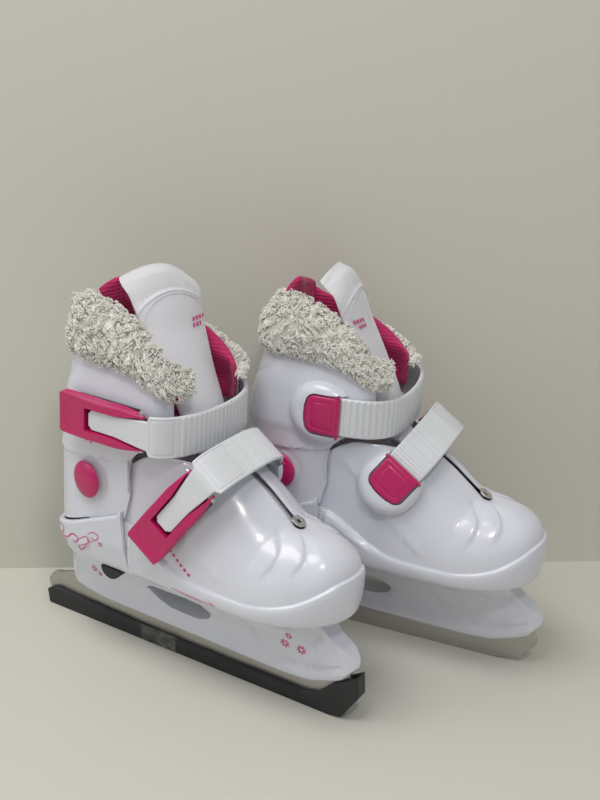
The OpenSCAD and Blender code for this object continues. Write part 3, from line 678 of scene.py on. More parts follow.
def toe_relief(p):
    """Proud and sunken lines of the toe shell: creases over the toes, side folds, a rear step."""
    x, y, z = p[..., 0], abs(p[..., 1]), p[..., 2]
    above = ease((z - rim_z(x) - 1.5) / 4)
    out = np.zeros(x.shape)
    for crease, y0, y1, depth in ((CREASE_1, 10, 39, 1.3), (CREASE_2, 6, 32, 1.3)):
        ahead = x - crease(y)
        tooth = ease(ahead / 1.6 + 0.5) * (1 - ease(ahead / 15))
        out -= depth * tooth * ease((y - y0) / 8) * ease((y1 - y) / 6) * above
    fold = [(-12, 131), (2, 118), (16, 103), (26, 94), (35, 87), (44, 80.5)]
    r = distance(fold, x, z)[0]
    side = ease((y - 22) / 6)
    lower = over_line(fold, x, z)
    out += 0.9 * np.exp(-(r / 4.5) ** 2) * ease(lower / 1.2 + 0.5) * side * ease((46 - x) / 6)
    notch = distance([(-3.5, 86.5), (9.4, 80)], x, z)[0]
    out -= 0.7 * np.exp(-(notch / 1.3) ** 2) * side
    lip_edge = [(-19, 92), (-4, 83.5), (9, 77.5), (22, 73.5), (34, 72)]
    below = over_line(lip_edge, x, z)
    out -= 0.7 * ease(-below / 1.2) * ease((12 - x) / 14) * ease((x + 20) / 3) * side
    slit = ease((26 - y) / 20) * ease((x - 20) / 10)
    out += 0.5 * np.exp(-((y - 5.5) / 2.2) ** 2) * slit * ease((67 - x) / 5)
    dish = np.hypot(x - RIVET_X, y)
    out -= 0.5 * np.exp(-(dish / 7.5) ** 4)
    return out


def toe_shell_grids():
    xs = np.concatenate([np.arange(-44.5, -24, 2.4), np.arange(-23.6, -20.6, 0.5),
                         np.arange(-20, TOE_X - 0.5, 1.5)])
    angles = np.radians(np.linspace(90, 0, 44))
    grids = []
    for inset in (0.0, WALL):
        rows = [toe_side_column(x, inset) for x in xs]
        rows += [toe_front_column(a, inset) for a in angles]
        grids.append(mirrored(np.array(rows)))
    outer, inner = grids
    relief = toe_relief(outer)[..., None]
    return outer + normals(outer) * relief, inner


def floor_outline(front, back, inset):
    """Outline of a shell's floor, between two places along the boot."""
    half = [(back, -(BOOT_HALF_W - inset))] if back > HEEL_X else []
    if front > TOE_X:
        half += [tuple(toe_point(a, inset)) for a in np.radians(np.linspace(90, 0, 14))]
    return half


def toe_shell(side):
    outer, inner = toe_shell_grids()
    mesh = Mesh().wall(outer, inner)
    half = floor_outline(TOE_FRONT, -20.4, 4.2)
    mesh.slab(across(half), SOLE_Z + 1, SOLE_Z + 3.4)
    build(f"{side}_toe_shell_skin", side, mesh, [SHELL], f"{side}_toe", [f"{side}_toe_shell"],
          levels=1)
    return outer


# ---------------------------------------------------------------- heel shell

HEEL_COLUMNS, HEEL_LEAN = 26, 0.11


def heel_column(x, y, inset):
    n = -np.array([x - max(x, HEEL_X), y])
    n = n / np.linalg.norm(n)
    top = float(ridge_z(x))
    lean = HEEL_LEAN * ease((x + 30) / 6)
    profile = rounded([(6, SOLE_Z), (4.4, 66), (3.2, 70), (2.4, 74 if top > 86 else 71),
                       (0.6, 82 if top > 94 else 74), (0, top - 6), (0.1, top - 1), (0.7, top)],
                      HEEL_COLUMNS, 1.5)
    reach = profile[:, 0] + inset
    back = lean * (profile[:, 1] - SOLE_Z)
    return np.column_stack([x + n[0] * reach - back, y + n[1] * reach, profile[:, 1]])


def heel_shell(side):
    xs = np.linspace(SHELL_OPEN_X, HEEL_X, 22)
    angles = np.radians(np.linspace(90, 0, 30))[1:]
    grids = []
    for inset in (0.0, WALL):
        rows = [heel_column(x, -BOOT_HALF_W, inset) for x in xs]
        rows += [heel_column(*heel_point(a), inset) for a in angles]
        grids.append(mirrored(np.array(rows)))
    outer, inner = grids
    x, z = outer[..., 0], outer[..., 2]
    belt = z - (ridge_z(x) - 9.0)
    relief = 0.35 * np.exp(-((z - ridge_z(x) + 1.6) / 1.2) ** 2)
    front_edge = x + 26.2 - HEEL_LEAN * (z - SOLE_Z)
    relief = relief - 0.3 * np.exp(-(front_edge / 0.9) ** 2) * ease(belt + 9)
    outer = outer + normals(outer) * relief[..., None]
    mesh = Mesh().wall(outer, inner)
    half = [(SHELL_OPEN_X + 0.1, -(BOOT_HALF_W - 7)), (HEEL_X, -(BOOT_HALF_W - 7))]
    half += [tuple(heel_point(a, inset=7)) for a in angles]
    mesh.slab(across(half), SOLE_Z, SOLE_Z + 2.4)
    lug_r, lug_foot = 7.2, 84
    lug = [(ANKLE[0] + lug_r * math.cos(a), ANKLE[1] + lug_r * math.sin(a))
           for a in np.linspace(math.pi, 0, 17)]
    lug += [(ANKLE[0] + lug_r, lug_foot), (ANKLE[0] - lug_r, lug_foot)]
    for s in (-1, 1):
        mesh.prism(lug, s * FLAP_HALF_W, s * (FLAP_HALF_W - WALL))
    build(f"{side}_heel_shell_skin", side, mesh, [SHELL], f"{side}_chassis",
          [f"{side}_heel_shell"], bevel=0.3)
    return outer


# ---------------------------------------------------------------- cuff

EAR_R = 31.4
CUFF_LOW = ([(4, 160), (-6, 155), (-16, 147.5), (-22.3, 139.5)]
            + [(EAR_R * math.cos(math.radians(a)) + ANKLE[0],
                ANKLE[1] + EAR_R * math.sin(math.radians(a))) for a in (15, -2, -20)]
            + [(-27, 100.5), (-39, float(ridge_z(-39)) - 4), (-48, float(ridge_z(-48)) - 4),
               (-54, float(ridge_z(-54)) + 0.9)])
low_x = line_of([(i, p[0]) for i, p in enumerate(CUFF_LOW)])
low_z = line_of([(i, p[1]) for i, p in enumerate(CUFF_LOW)])
STEP_LINE = [(-92, 131.5), (-80, 133), (-62, 134), (-42, 136), (-31, 137.5), (-20, 141)]


def cuff_side(x, z, inset):
    front = np.maximum(0, x + 8) / 12
    return np.stack([x, -(cuff_w(z) - 7 * front ** 2 - inset), z], axis=-1)


def cuff_back_point(angle, z, inset):
    r = super_radius(HEEL_X - cuff_back(z) - inset, cuff_w(z) - inset, angle, 2.5)
    return np.stack([HEEL_X - r * math.cos(angle), -r * math.sin(angle), z], axis=-1)


def cuff_grid(inset, steps):
    last = len(CUFF_LOW) - 1
    rows = []
    for i in np.linspace(0, last, 76):
        x2 = 2.5 + (-55 - 2.5) * i / last
        x = low_x(i) + (x2 - low_x(i)) * steps
        z = low_z(i) + (rim_top(x2) - low_z(i)) * steps
        rows.append(cuff_side(x, z, inset))
    for a in np.radians(np.linspace(84, 0, 30)):
        x = heel_point(a, CUFF_HALF_W)[0]
        low = ridge_z(x) + 0.9
        rows.append(cuff_back_point(a, low + (rim_top(x) - low) * steps, inset))
    return mirrored(np.array(rows))


def cuff_shell(side):
    steps = np.linspace(0, 1, 62)
    outer = cuff_grid(0.0, steps)
    inner = cuff_grid(WALL, steps)
    x, y, z = outer[..., 0], outer[..., 1], outer[..., 2]
    step = over_line(STEP_LINE, x, z)
    relief = -0.9 * ease(-step / 1.4 + 0.5) + 0.35 * np.exp(-((step - 1.2) / 1.2) ** 2)
    near_cap = np.hypot(x - ANKLE[0], z - ANKLE[1])
    relief = relief - 0.5 * np.exp(-((near_cap - 13) / 1.1) ** 2) * (abs(y) > 25)
    seam = [(-60, 207), (-60.5, 200), (-63, 192), (-69, 184), (-78, 177.5), (-90, 174)]
    relief = relief - groove(seam, x, z, 0.8, 0.8, 0)
    relief = relief + 0.35 * np.exp(-((z - (rim_top(x) - 1.5)) / 1.3) ** 2)
    outer = outer + normals(outer) * relief[..., None]
    mesh = Mesh().wall(outer, inner)
    build(f"{side}_cuff_skin", side, mesh, [SHELL], f"{side}_cuff", [f"{side}_cuff_shell"],
          bevel=0.35)
    return outer


# ---------------------------------------------------------------- blade holder

holder_low = line_of([(-95, 22), (-80, 18), (-60, 16), (-31, 15.5), (20, 14.5), (68, 13.5),
                      (86, 14.5), (98, 18), (110, 23), (119, 32)])
holder_high = line_of([(-95, 30), (-91, 45), (-88, 58), (-84, SOLE_Z - 0.2), (92, SOLE_Z - 0.2),
                       (94.5, 60), (97, 56), (100, 51.5), (106, 46.5), (113, 42.5), (119, 37)])
holder_top_w = line_of([(-95, 7), (-88, 14), (-80, 24), (-60, 31), (-20, 33), (60, 31), (84, 24),
                        (93, 16), (97, 10), (105, 8.2), (119, 6)])
WINDOW = smooth_path([(-31, 39.5), (-27, 42.5), (-12, 43), (4, 43), (13, 40.8), (18, 36),
                      (15.5, 32), (8, 29.5), (-6, 29.6), (-14, 30.2), (-24, 34.5), (-31, 39.5)], 60)
TRACK = smooth_path([(-56, 33), (-52, 39), (-44, 44.5), (-34, 46.3), (-24, 46), (-10, 46.5),
                     (6, 46.3)], 50)
TRACK_LOW = smooth_path([(-56, 33), (-50, 29.5), (-36, 26.2), (-21.2, 23.6), (12, 22.4),
                         (46.4, 21.9)], 60)
S_LINE = smooth_path([(19, 45), (25, 44.6), (37.7, 45.5), (44, 42), (50, 36), (57, 28.5),
                      (64, 24.4), (73, 23.3), (84, 24.4), (98, 28.2), (111.6, 33.2)], 80)
NOSE_LINE = smooth_path([(66, 61), (72, 55), (80, 49.5), (88, 44.5), (96, 40)], 40)


def holder_half(x, count):
    low, high, w = float(holder_low(x)), float(holder_high(x)), float(holder_top_w(x))
    nose = math.sqrt(max(0.0, 1 - max(0.0, (x - 110) / 9.3) ** 2))
    tail = math.sqrt(max(0.0, 1 - max(0.0, (-90.5 - x) / 4.6) ** 2))
    taper = max(0.06, min(nose, tail))
    m = min(w, 9)
    h = high - low
    half = [(0, low), (5.2, low), (6.5, low + min(1.3, h / 5)), (7.0, low + h * 0.18),
            (m, low + h * 0.45), (m + (w - m) * 0.22, low + h * 0.70),
            (w - (w - m) * 0.18, low + h * 0.90), (w, low + h * 0.955), (w - 0.3, high),
            (w - 1.6, high), (0, high)]
    return rounded([(a * taper, (high + low) / 2 + (b - (high + low) / 2) * (0.55 + 0.45 * taper))
                    for a, b in half], count, 1.4)


def holder_grid():
    xs = np.concatenate([[-95, -94.6, -94, -93.2, -92, -90.5], np.arange(-89, 109, 1.6),
                         np.arange(109.5, 118, 0.9), [118.2, 118.8, 119.2]])
    rows = []
    for x in xs:
        half = holder_half(x, 44)
        left = np.column_stack([np.full(len(half), x), half[:, 0], half[:, 1]])
        rows.append(mirrored(left, ring=True))
    return np.array(rows)


def blade_holder(side):
    g = holder_grid()
    x, y, z = g[..., 0], g[..., 1], g[..., 2]
    outward = np.sign(y) * ease((abs(y) - 3) / 2)
    sink = groove(TRACK, x, z, 0.95, 1.1) + groove(TRACK_LOW, x, z, 0.95, 1.1)
    sink = sink + groove(S_LINE, x, z, 0.95, 1.2, 0.03) + groove(NOSE_LINE, x, z, 0.9, 0.7)
    sink = sink + 0.9 * np.exp(-(distance(WINDOW, x, z)[0] / 1.6) ** 2)
    lip = distance([(-90, 24.5), (-60, 19.6), (-31, 18.6), (20, 17.6), (68, 16.8), (86, 18),
                    (100, 22.5), (112, 28.5)], x, z)[0]
    sink = sink - 0.5 * np.exp(-(lip / 1.5) ** 2)
    nose = np.exp(-(((x - 96) / 9) ** 2 + ((z - 47) / 8) ** 2)) * 2.6
    g[..., 1] = y - outward * (sink + nose)
    mesh = Mesh().bar(g)
    obj = build(f"{side}_blade_holder_skin", side, mesh, [SHELL], f"{side}_chassis",
                [f"{side}_blade_holder"])
    window = Mesh().prism([tuple(p) for p in WINDOW[:-1]], -40, 40)
    cut(obj, window, side)
    slot = [(-101, 5), (125, 5), (125, 27.2), (88, 27.2), (86, 25.2), (-101, 25.2)]
    cut(obj, Mesh().prism(slot, -1.6, 1.6), side)
    soften(obj, 38)
    return g


# ---------------------------------------------------------------- straps, levers and clamps

def turn_about(axis, degrees):
    return Matrix.Rotation(math.radians(degrees), 4, axis)


FLIP_X, FLIP_Y = Matrix.Diagonal((-1, 1, 1, 1)), Matrix.Diagonal((1, -1, 1, 1))
UPPER_PLANE = Matrix.Translation((0, 0, 164.5))
LOWER_PLANE = Matrix.Translation((-2, 0, 96)) @ turn_about("Y", -55)
UPPER_AT, LOWER_AT, LOWER_TILT = (-69, -41.6), (-7, -44.3), 9
CLAMP_AT, CLAMP_TILT, CLAMP_UPPER = (47.2, 33.2), 18, (-16.5, 41.3)
UPPER_BUCKLE = UPPER_PLANE @ Matrix.Translation((*UPPER_AT, 0)) @ FLIP_Y
LOWER_BUCKLE = (LOWER_PLANE @ Matrix.Translation((*LOWER_AT, 0)) @ turn_about("Z", LOWER_TILT)
                @ FLIP_Y)
UPPER_CLAMP = UPPER_PLANE @ Matrix.Translation((*CLAMP_UPPER, 0)) @ FLIP_X
LOWER_CLAMP = (LOWER_PLANE @ Matrix.Translation((*CLAMP_AT, 0)) @ turn_about("Z", -CLAMP_TILT)
               @ FLIP_X)
BUCKLES = {"upper": (UPPER_BUCKLE, UPPER_CLAMP, "cuff"),
           "lower": (LOWER_BUCKLE, LOWER_CLAMP, "toe")}
TONGUE_B, BASE_T = 7.9, 2.6


def in_plane(at, tilt, a, b):
    """A buckle's own (along, outward) in its strap's plane."""
    t = math.radians(tilt)
    return (at[0] + a * math.cos(t) + b * math.sin(t), at[1] + a * math.sin(t) - b * math.cos(t))


def at_clamp(at, tilt, u, v):
    t = math.radians(tilt)
    return (at[0] - u * math.cos(t) + v * math.sin(t), at[1] + u * math.sin(t) + v * math.cos(t))


STRAP_PATHS = {
    "upper": [in_plane(UPPER_AT, 0, a, TONGUE_B) for a in (24.5, 33, 44, 55, 66)]
    + [(2, -48.6), (7, -45), (11.5, -38), (15, -27), (17, -13), (17.4, 2), (16, 16), (11.5, 29),
       (4, 37.5), (-6, 42.3), (-12, 43.5), (-16.5, 43.7), (-24, 43.7), (-33, 43.7)],
    "lower": [in_plane(LOWER_AT, LOWER_TILT, a, TONGUE_B) for a in (24.5, 33, 44, 55, 66)]
    + [(62.6, -39), (65.2, -32), (66.4, -22), (66.8, -8), (66, 6), (63.5, 17), (59.5, 26), (54, 32),
       at_clamp(CLAMP_AT, CLAMP_TILT, 0, 2.4), at_clamp(CLAMP_AT, CLAMP_TILT, 16.5, 2.4)]}
strap_half = line_of([(0, 6.3), (18, 6.5), (28, 7.6), (38, 8.6), (41.6, 8.9), (43.4, 12.3),
                      (49, 12.5), (400, 12.5)])


def strap(side, which):
    """A moulded strap: a narrow tongue, a smooth shield with a sunk border, then cross ribs."""
    path = smooth_path(STRAP_PATHS[which], 420)
    way = unit(np.gradient(path, axis=0))
    out = np.column_stack([way[:, 1], -way[:, 0]])
    s = np.concatenate([[0], np.cumsum(np.linalg.norm(np.diff(path, axis=0), axis=1))])
    half = strap_half(s)
    half = half - 2.2 * ease((2.5 - s) / 2.5) - 1.5 * ease((s - s[-1] + 2) / 2)
    ribs_from, pitch, depth = (61, 3.9, 0.8) if which == "upper" else (70, 2.2, 0.45)
    clamp_from = s[-1] - 17
    wave = 0.5 - 0.5 * np.cos(2 * math.pi * (s - ribs_from) / pitch)
    tooth = ease((wave - 0.25) / 0.4)
    ribbed = ease((s - ribs_from) / 1.5) * ease((clamp_from - s) / 1.5)
    share = np.array([-1, -0.97, -0.92, -0.89, -0.86, -0.83, -0.8, -0.6, -0.3, 0, 0.3, 0.6, 0.8,
                       0.83, 0.86, 0.89, 0.92, 0.97, 1])
    face = np.array([0.55, 0.9] + [1.0] * 15 + [0.9, 0.55])
    border = np.exp(-((abs(share) - 0.86) / 0.025) ** 2)
    shield = ease((s - 43.5) / 1.5) * ease((ribs_from - 3 - s) / 1.5)
    sag = -1.2 * ease((s - 48) / 45) * ease((s[-1] - 22 - s) / 40) if which == "upper" else 0 * s
    rows = []
    for i in range(len(s)):
        c = share * half[i] + sag[i]
        raised = depth * tooth[i] * ribbed[i] * (abs(share) < 0.955)
        b = face * (1 + raised) - 0.35 * border * shield[i]
        ends = np.exp(-((s[i] - 44.5) / 0.7) ** 2) + np.exp(-((s[i] - ribs_from + 3.2) / 0.7) ** 2)
        b = b - 0.35 * min(1, ends) * (abs(share) < 0.85)
        top = np.column_stack([np.outer(b, out[i]) + path[i], c])
        low = np.column_stack([np.outer(-face, out[i]) + path[i], c])[::-1]
        rows.append(np.concatenate([top, low]))
    mesh = Mesh().bar(np.array(rows)).turned(UPPER_PLANE if which == "upper" else LOWER_PLANE)
    node = f"{side}_{which}_strap"
    build(f"{node}_moulding", side, mesh, [STRAP], f"{side}_{BUCKLES[which][2]}", [node],
          sharp=50)


LEVER_BACK, LEVER_L, PIVOT = 3.0, 63.0, (60.0, 5.0)


def lever(side, which):
    """A forked lever: a thick bowed body with a thumb dish, and two arms that thin to the pivot."""
    low, high = BASE_T + 0.45, BASE_T + 6.6
    span = LEVER_L - LEVER_BACK
    top = [(LEVER_BACK + span * t, high + 1.7 * math.sin(math.pi * t))
           for t in np.linspace(0.02, 0.86, 36)]
    nose = [(PIVOT[0] + 3 * math.cos(a), PIVOT[1] + 1 + 2.9 * math.sin(a))
            for a in np.radians(np.linspace(62, -88, 14))]
    heel = [(LEVER_BACK, low), (LEVER_BACK - 1.1, low + 2.2), (LEVER_BACK - 1.3, high - 2.0),
            (LEVER_BACK - 0.6, high - 0.5)]
    bottom = [(a, low) for a in np.linspace(PIVOT[0] - 2, LEVER_BACK + 2, 24)]
    outline = np.array(heel + top + nose + bottom)
    width = line_of([(1.5, 11.6), (4, 12.4), (9, 12.5), (44, 12.3), (56, 11.2), (63.2, 10.3)])
    centre = np.array([34, (low + high) / 2])
    rows = []
    steps = np.concatenate([[-1, -0.985, -0.955], np.linspace(-0.92, 0.92, 33), [0.955, 0.985, 1]])
    for k in steps:
        edge = max(0.0, (abs(k) - 0.92) / 0.08)
        pull = 0.9 * edge ** 2
        shift = outline - centre
        inward = unit(shift) * [0.4, 1] * pull
        p = outline - inward
        c = k * width(outline[:, 0])
        upper = ease((p[:, 1] - high + 1.5) / 1.5)
        dish = np.exp(-((p[:, 0] - 12) / 6.0) ** 2 - (c / 8.5) ** 2)
        ring = np.exp(-((np.hypot((p[:, 0] - 17) * 0.9, c) - 9.5) / 0.8) ** 2) * (p[:, 0] < 16)
        b = p[:, 1] - upper * (0.9 * dish + 0.5 * ring)
        rows.append(np.column_stack([p[:, 0], b, c]))
    frame_at = BUCKLES[which][0]
    node = f"{side}_{which}_lever"
    mesh = Mesh().bar(np.array(rows)).turned(frame_at)
    obj = build(f"{node}_body", side, mesh, [PINK], node, [node])
    half_gap = [(22.4, 7.1), (44, 7.3), (52, 8.5), (58, 9.4), (72, 9.5)]
    window = Mesh().prism([(23, -7.1), (22.4, -6.5), (22.4, 6.5), (23, 7.1)] + half_gap[1:]
                          + [(a, -g) for a, g in half_gap[:0:-1]], -30, 30)
    cut(obj, window.turned(frame_at), side)
    add_bevel(obj, 0.45, 2, 40)
    soften(obj, 40)


def rounded_plate(length, width, corner):
    """Outline of a plate from its straight hinge edge to its rounded far corners, as (u, c)."""
    half = [(0.3, -width / 2 + 0.8), (1.1, -width / 2)]
    half += [(length - corner + corner * math.sin(t), -width / 2 + corner - corner * math.cos(t))
             for t in np.linspace(0, math.pi / 2, 10)]
    bulge = [(length + 0.9 * math.cos(t), width / 2 * math.sin(t) * 0.55) for t in (-0.8, 0, 0.8)]
    return np.array(half + bulge + [(u, -c) for u, c in half[::-1]])


def clamp(side, which):
    """The rounded plate that holds the strap's end, with a sunk ring and its hinge."""
    outline = rounded_plate(20.6, STRAP_W - 0.4, 5.5)
    middle = np.array([10.5, 0])
    layers = [(3.85, 0.5), (4.2, 0.0), (5.6, 0.0), (6.25, 0.3), (6.6, 0.9), (6.8, 2.2), (6.85, 3.6),
              (6.55, 4.1), (6.55, 4.6), (6.9, 5.1), (7.0, 7.5), (7.05, 9.5)]
    rows = []
    for v, inset in layers:
        d = outline - middle
        r = np.linalg.norm(d, axis=1)[:, None]
        p = middle + d * (1 - inset / r)
        rows.append(np.column_stack([p[:, 0], np.full(len(p), v), p[:, 1]]))
    mesh = Mesh().bar(np.array(rows))
    for r, reach in ((1.2, 12.4), (0.85, 14.3)):
        loops = [[(r * math.cos(t), PIVOT[1] + r * math.sin(t), c) for t in circle(16)]
                 for c in (-reach, reach)]
        mesh.bar(np.array(loops))
    node = f"{side}_{which}_clamp"
    build(f"{node}_plate", side, mesh.turned(BUCKLES[which][1]), [PINK], node, [node],
          sharp=35)


def clamp_housing(side, which):
    """The raised round dome that the clamp plate lies in, flush with its top."""
    centre, radius, height = 13.5, 19.6, 6.6
    angles = circle(96)
    rows = []
    for k in np.linspace(0, 1, 30):
        loop = []
        for t in angles:
            forward = max(0.0, -math.cos(t)) ** 2
            far = radius + 3.5 * forward
            r = far * (0.35 + 0.65 * k) if k < 1 else far
            share = max(0.0, (r - 10) / (far - 10))
            v = height * max(0.0, 1 - share ** 2.4) ** 0.62
            loop.append((centre + r * math.cos(t), v, r * math.sin(t)))
        rows.append(loop)
    rows.append([(x, -2.5, c) for x, v, c in rows[-1]])
    mesh = Mesh().bar(np.array(rows))
    frame_at = BUCKLES[which][1]
    node = f"{side}_{which}_clamp_housing"
    obj = build(f"{node}_dome", side, mesh.turned(frame_at), [SHELL],
                f"{side}_{BUCKLES[which][2]}", [node])
    pocket = rounded_plate(22.4, STRAP_W + 2.2, 6.5)
    pocket[:, 0] -= 1.4
    cutters = [(pocket, 1.2, 20),
               ([(-30, -13.4), (-0.6, -13.4), (-0.6, 13.4), (-30, 13.4)], -9, 20)]
    for outline, v0, v1 in cutters:
        cut(obj, Mesh().prism(outline, v0, v1).turned(frame_at), side)
    add_bevel(obj, 0.6, 3, 45)
    soften(obj, 42)


def lathe(profile):
    """Loops of a round piece from (radius, height) points; the height is along Y."""
    turns = circle(40)
    return np.array([[(r * math.cos(t), h, r * math.sin(t)) for t in turns] for r, h in profile])


def ankle_caps(side):
    mesh = Mesh()
    for s in (-1, 1):
        at = (Matrix.Translation((ANKLE[0], s * (CUFF_HALF_W + 0.5), ANKLE[1]))
              @ turn_about("Z", s * 13))
        if s < 0:
            at = at @ FLIP_Y
        cap = [(11.0, 0), (11.6, 0.25), (11.7, 0.8), (11.4, 1.3), (10.6, 1.9), (9.0, 2.7),
               (6.5, 3.3), (3.5, 3.6), (0.6, 3.7)]
        shank = [(4, 0.1), (4, -5.6), (6.4, -5.6), (6.5, -5.0)]
        for mark, profile in ((0, cap), (1, shank)):
            part = Mesh().bar(lathe(profile), mark).turned(at)
            mesh.add(part.points, part.faces, mark)
    build(f"{side}_ankle_caps", side, mesh, [PINK, FASTENER], f"{side}_chassis",
          [f"{side}_ankle_rivets"], sharp=50)


def dress(node, mat, bevel=0.0):
    """Gives a CAD node its finish, with its sharp edges eased."""
    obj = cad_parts[node]
    obj.data.materials.clear()
    obj.data.materials.append(mat)
    for polygon in obj.data.polygons:
        polygon.material_index = 0
    if bevel:
        weld = obj.modifiers.new("weld", "WELD")
        weld.merge_threshold = 1e-6
        add_bevel(obj, bevel)


def carried_over(side):
    """CAD nodes whose shape is right, in their own finishes."""
    for part, mat, bevel in (
            ("blade", BLADE, 0.12), ("blade_pins", FASTENER, 0.2),
            ("chassis_screws", FASTENER, 0.2), ("footbed", BOARD, 0.4),
            ("size_button", BLACK, 0.5), ("toe_rivets", FASTENER, 0.25),
            ("cuff_rivets", FASTENER, 0.15), ("lower_pivot_pins", FASTENER, 0.2),
            ("upper_pivot_pins", FASTENER, 0.2), ("lower_buckle_base", BLACK, 0.25),
            ("upper_buckle_base", BLACK, 0.25)):
        dress(f"{side}_{part}", mat, bevel)


# ---------------------------------------------------------------- liner, tongue and fur

def collar_side(x, z, inset):
    front = np.minimum(np.maximum(0, x + 8) / 12, 1.32)
    return np.array([x - max(0.0, z - 190) * 0.25, -(cuff_w(z) - 7 * front ** 2 - inset), z])


def collar_stations(front, count_side, count_back):
    """Stations along the collar, from its front edge to the heel: a place x, or an angle."""
    side = [("x", x) for x in np.linspace(front, -56, count_side)]
    back = [("a", a) for a in np.radians(np.linspace(82, 0, count_back))]
    return side + back


def station_x(station):
    """The place along the boot of a station."""
    kind, value = station
    return value if kind == "x" else heel_point(value, CUFF_HALF_W)[0]


def collar_point(station, z, inset):
    kind, value = station
    if kind == "x":
        return collar_side(value, z, inset)
    return cuff_back_point(value, np.float64(z), inset)


def inflate(obj, pressure, frames, cap):
    """Puffs a closed padded piece up with a short cloth simulation; no point moves past cap."""
    rest = np.array([v.co for v in obj.data.vertices])
    scene = bpy.context.scene
    sim = obj.modifiers.new("puff", "CLOTH")
    sim.settings.use_pressure = True
    sim.settings.uniform_pressure_force = pressure
    sim.settings.effector_weights.gravity = 0
    sim.settings.quality = 4
    sim.settings.tension_stiffness = 20
    sim.settings.bending_stiffness = 2
    sim.point_cache.frame_start, sim.point_cache.frame_end = 1, frames
    for number in range(1, frames + 1):
        scene.frame_set(number)
    made = obj.evaluated_get(bpy.context.evaluated_depsgraph_get())
    moved = np.array([v.co for v in made.data.vertices]) - rest
    obj.modifiers.remove(sim)
    scene.frame_set(1)
    far = np.linalg.norm(moved, axis=1)[:, None] + 1e-12
    moved *= np.minimum(1, cap * MM / far)
    obj.data.vertices.foreach_set("co", (rest + moved).ravel())
    obj.data.update()


def both_sides(rows_of, side):
    """Rows all the way round a collar whose two sides differ: rows_of(True) is the fuller one."""
    return joined(rows_of(side == "right"), rows_of(side != "right"))


def liner_collar(side):
    """The padded magenta lining of the cuff: a tall pad whose top edge is rolled."""
    def rows_of(full):
        rows = []
        for s in collar_stations(5.5, 30, 16):
            x = station_x(s)
            low, high = float(collar_low(x)), float(collar_top(x))
            if full:
                low += (high - 9 - low) * ease((x + 3) / 3)
            loop = []
            for t in circle(56):
                up = 0.5 - 0.5 * squared(math.cos(t), 0.55)
                z = low + (high - low) * up
                thick = 4.0 if z < 176 else 4.0 + 3.2 * ease((z - 176) / 18)
                bulge = squared(math.sin(t), 0.5)
                loop.append(collar_point(s, z, WALL + 0.8 + thick / 2 * (1 + bulge)))
            rows.append(loop)
        return np.array(rows)

    rows = both_sides(rows_of, side)
    obj = build(f"{side}_padded_collar", side, Mesh().bar(rows), [PINK_KNIT], f"{side}_cuff",
                [f"{side}_liner_collar"])
    inflate(obj, pressure=4.0, frames=16, cap=1.0)
    subdivide(obj, 1)


TONGUE_LINE = [(160, 10.5, 20), (170, 7, 21), (185, -0.5, 22), (200, -8, 22.5), (215, -15.5, 23.5),
               (228, -20.5, 24.5), (236, -24, 24.5), (242, -27.5, 24), (246, -31.5, 22.5),
               (247, -35, 20.5)]
tongue_x = line_of([(i, p[1]) for i, p in enumerate(TONGUE_LINE)])
tongue_z = line_of([(i, p[0]) for i, p in enumerate(TONGUE_LINE)])
tongue_w = line_of([(i, p[2]) for i, p in enumerate(TONGUE_LINE)])
tongue_arch = line_of([(0, 0.011), (4, 0.010), (6, 0.010), (9, 0.013)])


def tongue_point(k, y, depth, turn=0.0):
    """A point of the tongue: k along it, y across, depth behind its front face."""
    z = tongue_z(k) - 0.016 * y * y * ease((k - 4.5) / 4)
    back = -tongue_arch(k) * y * y - depth * 0.95
    t = math.radians(turn) * ease((k - 1) / 5)
    x = tongue_x(k) + back * np.cos(t) + y * np.sin(t)
    return x, y * np.cos(t) - back * np.sin(t), z + depth * 0.3


def band_edge(y):
    """How far along the tongue its knit band starts."""
    return 6.1 - 1.5 * (y / 24.5) ** 2


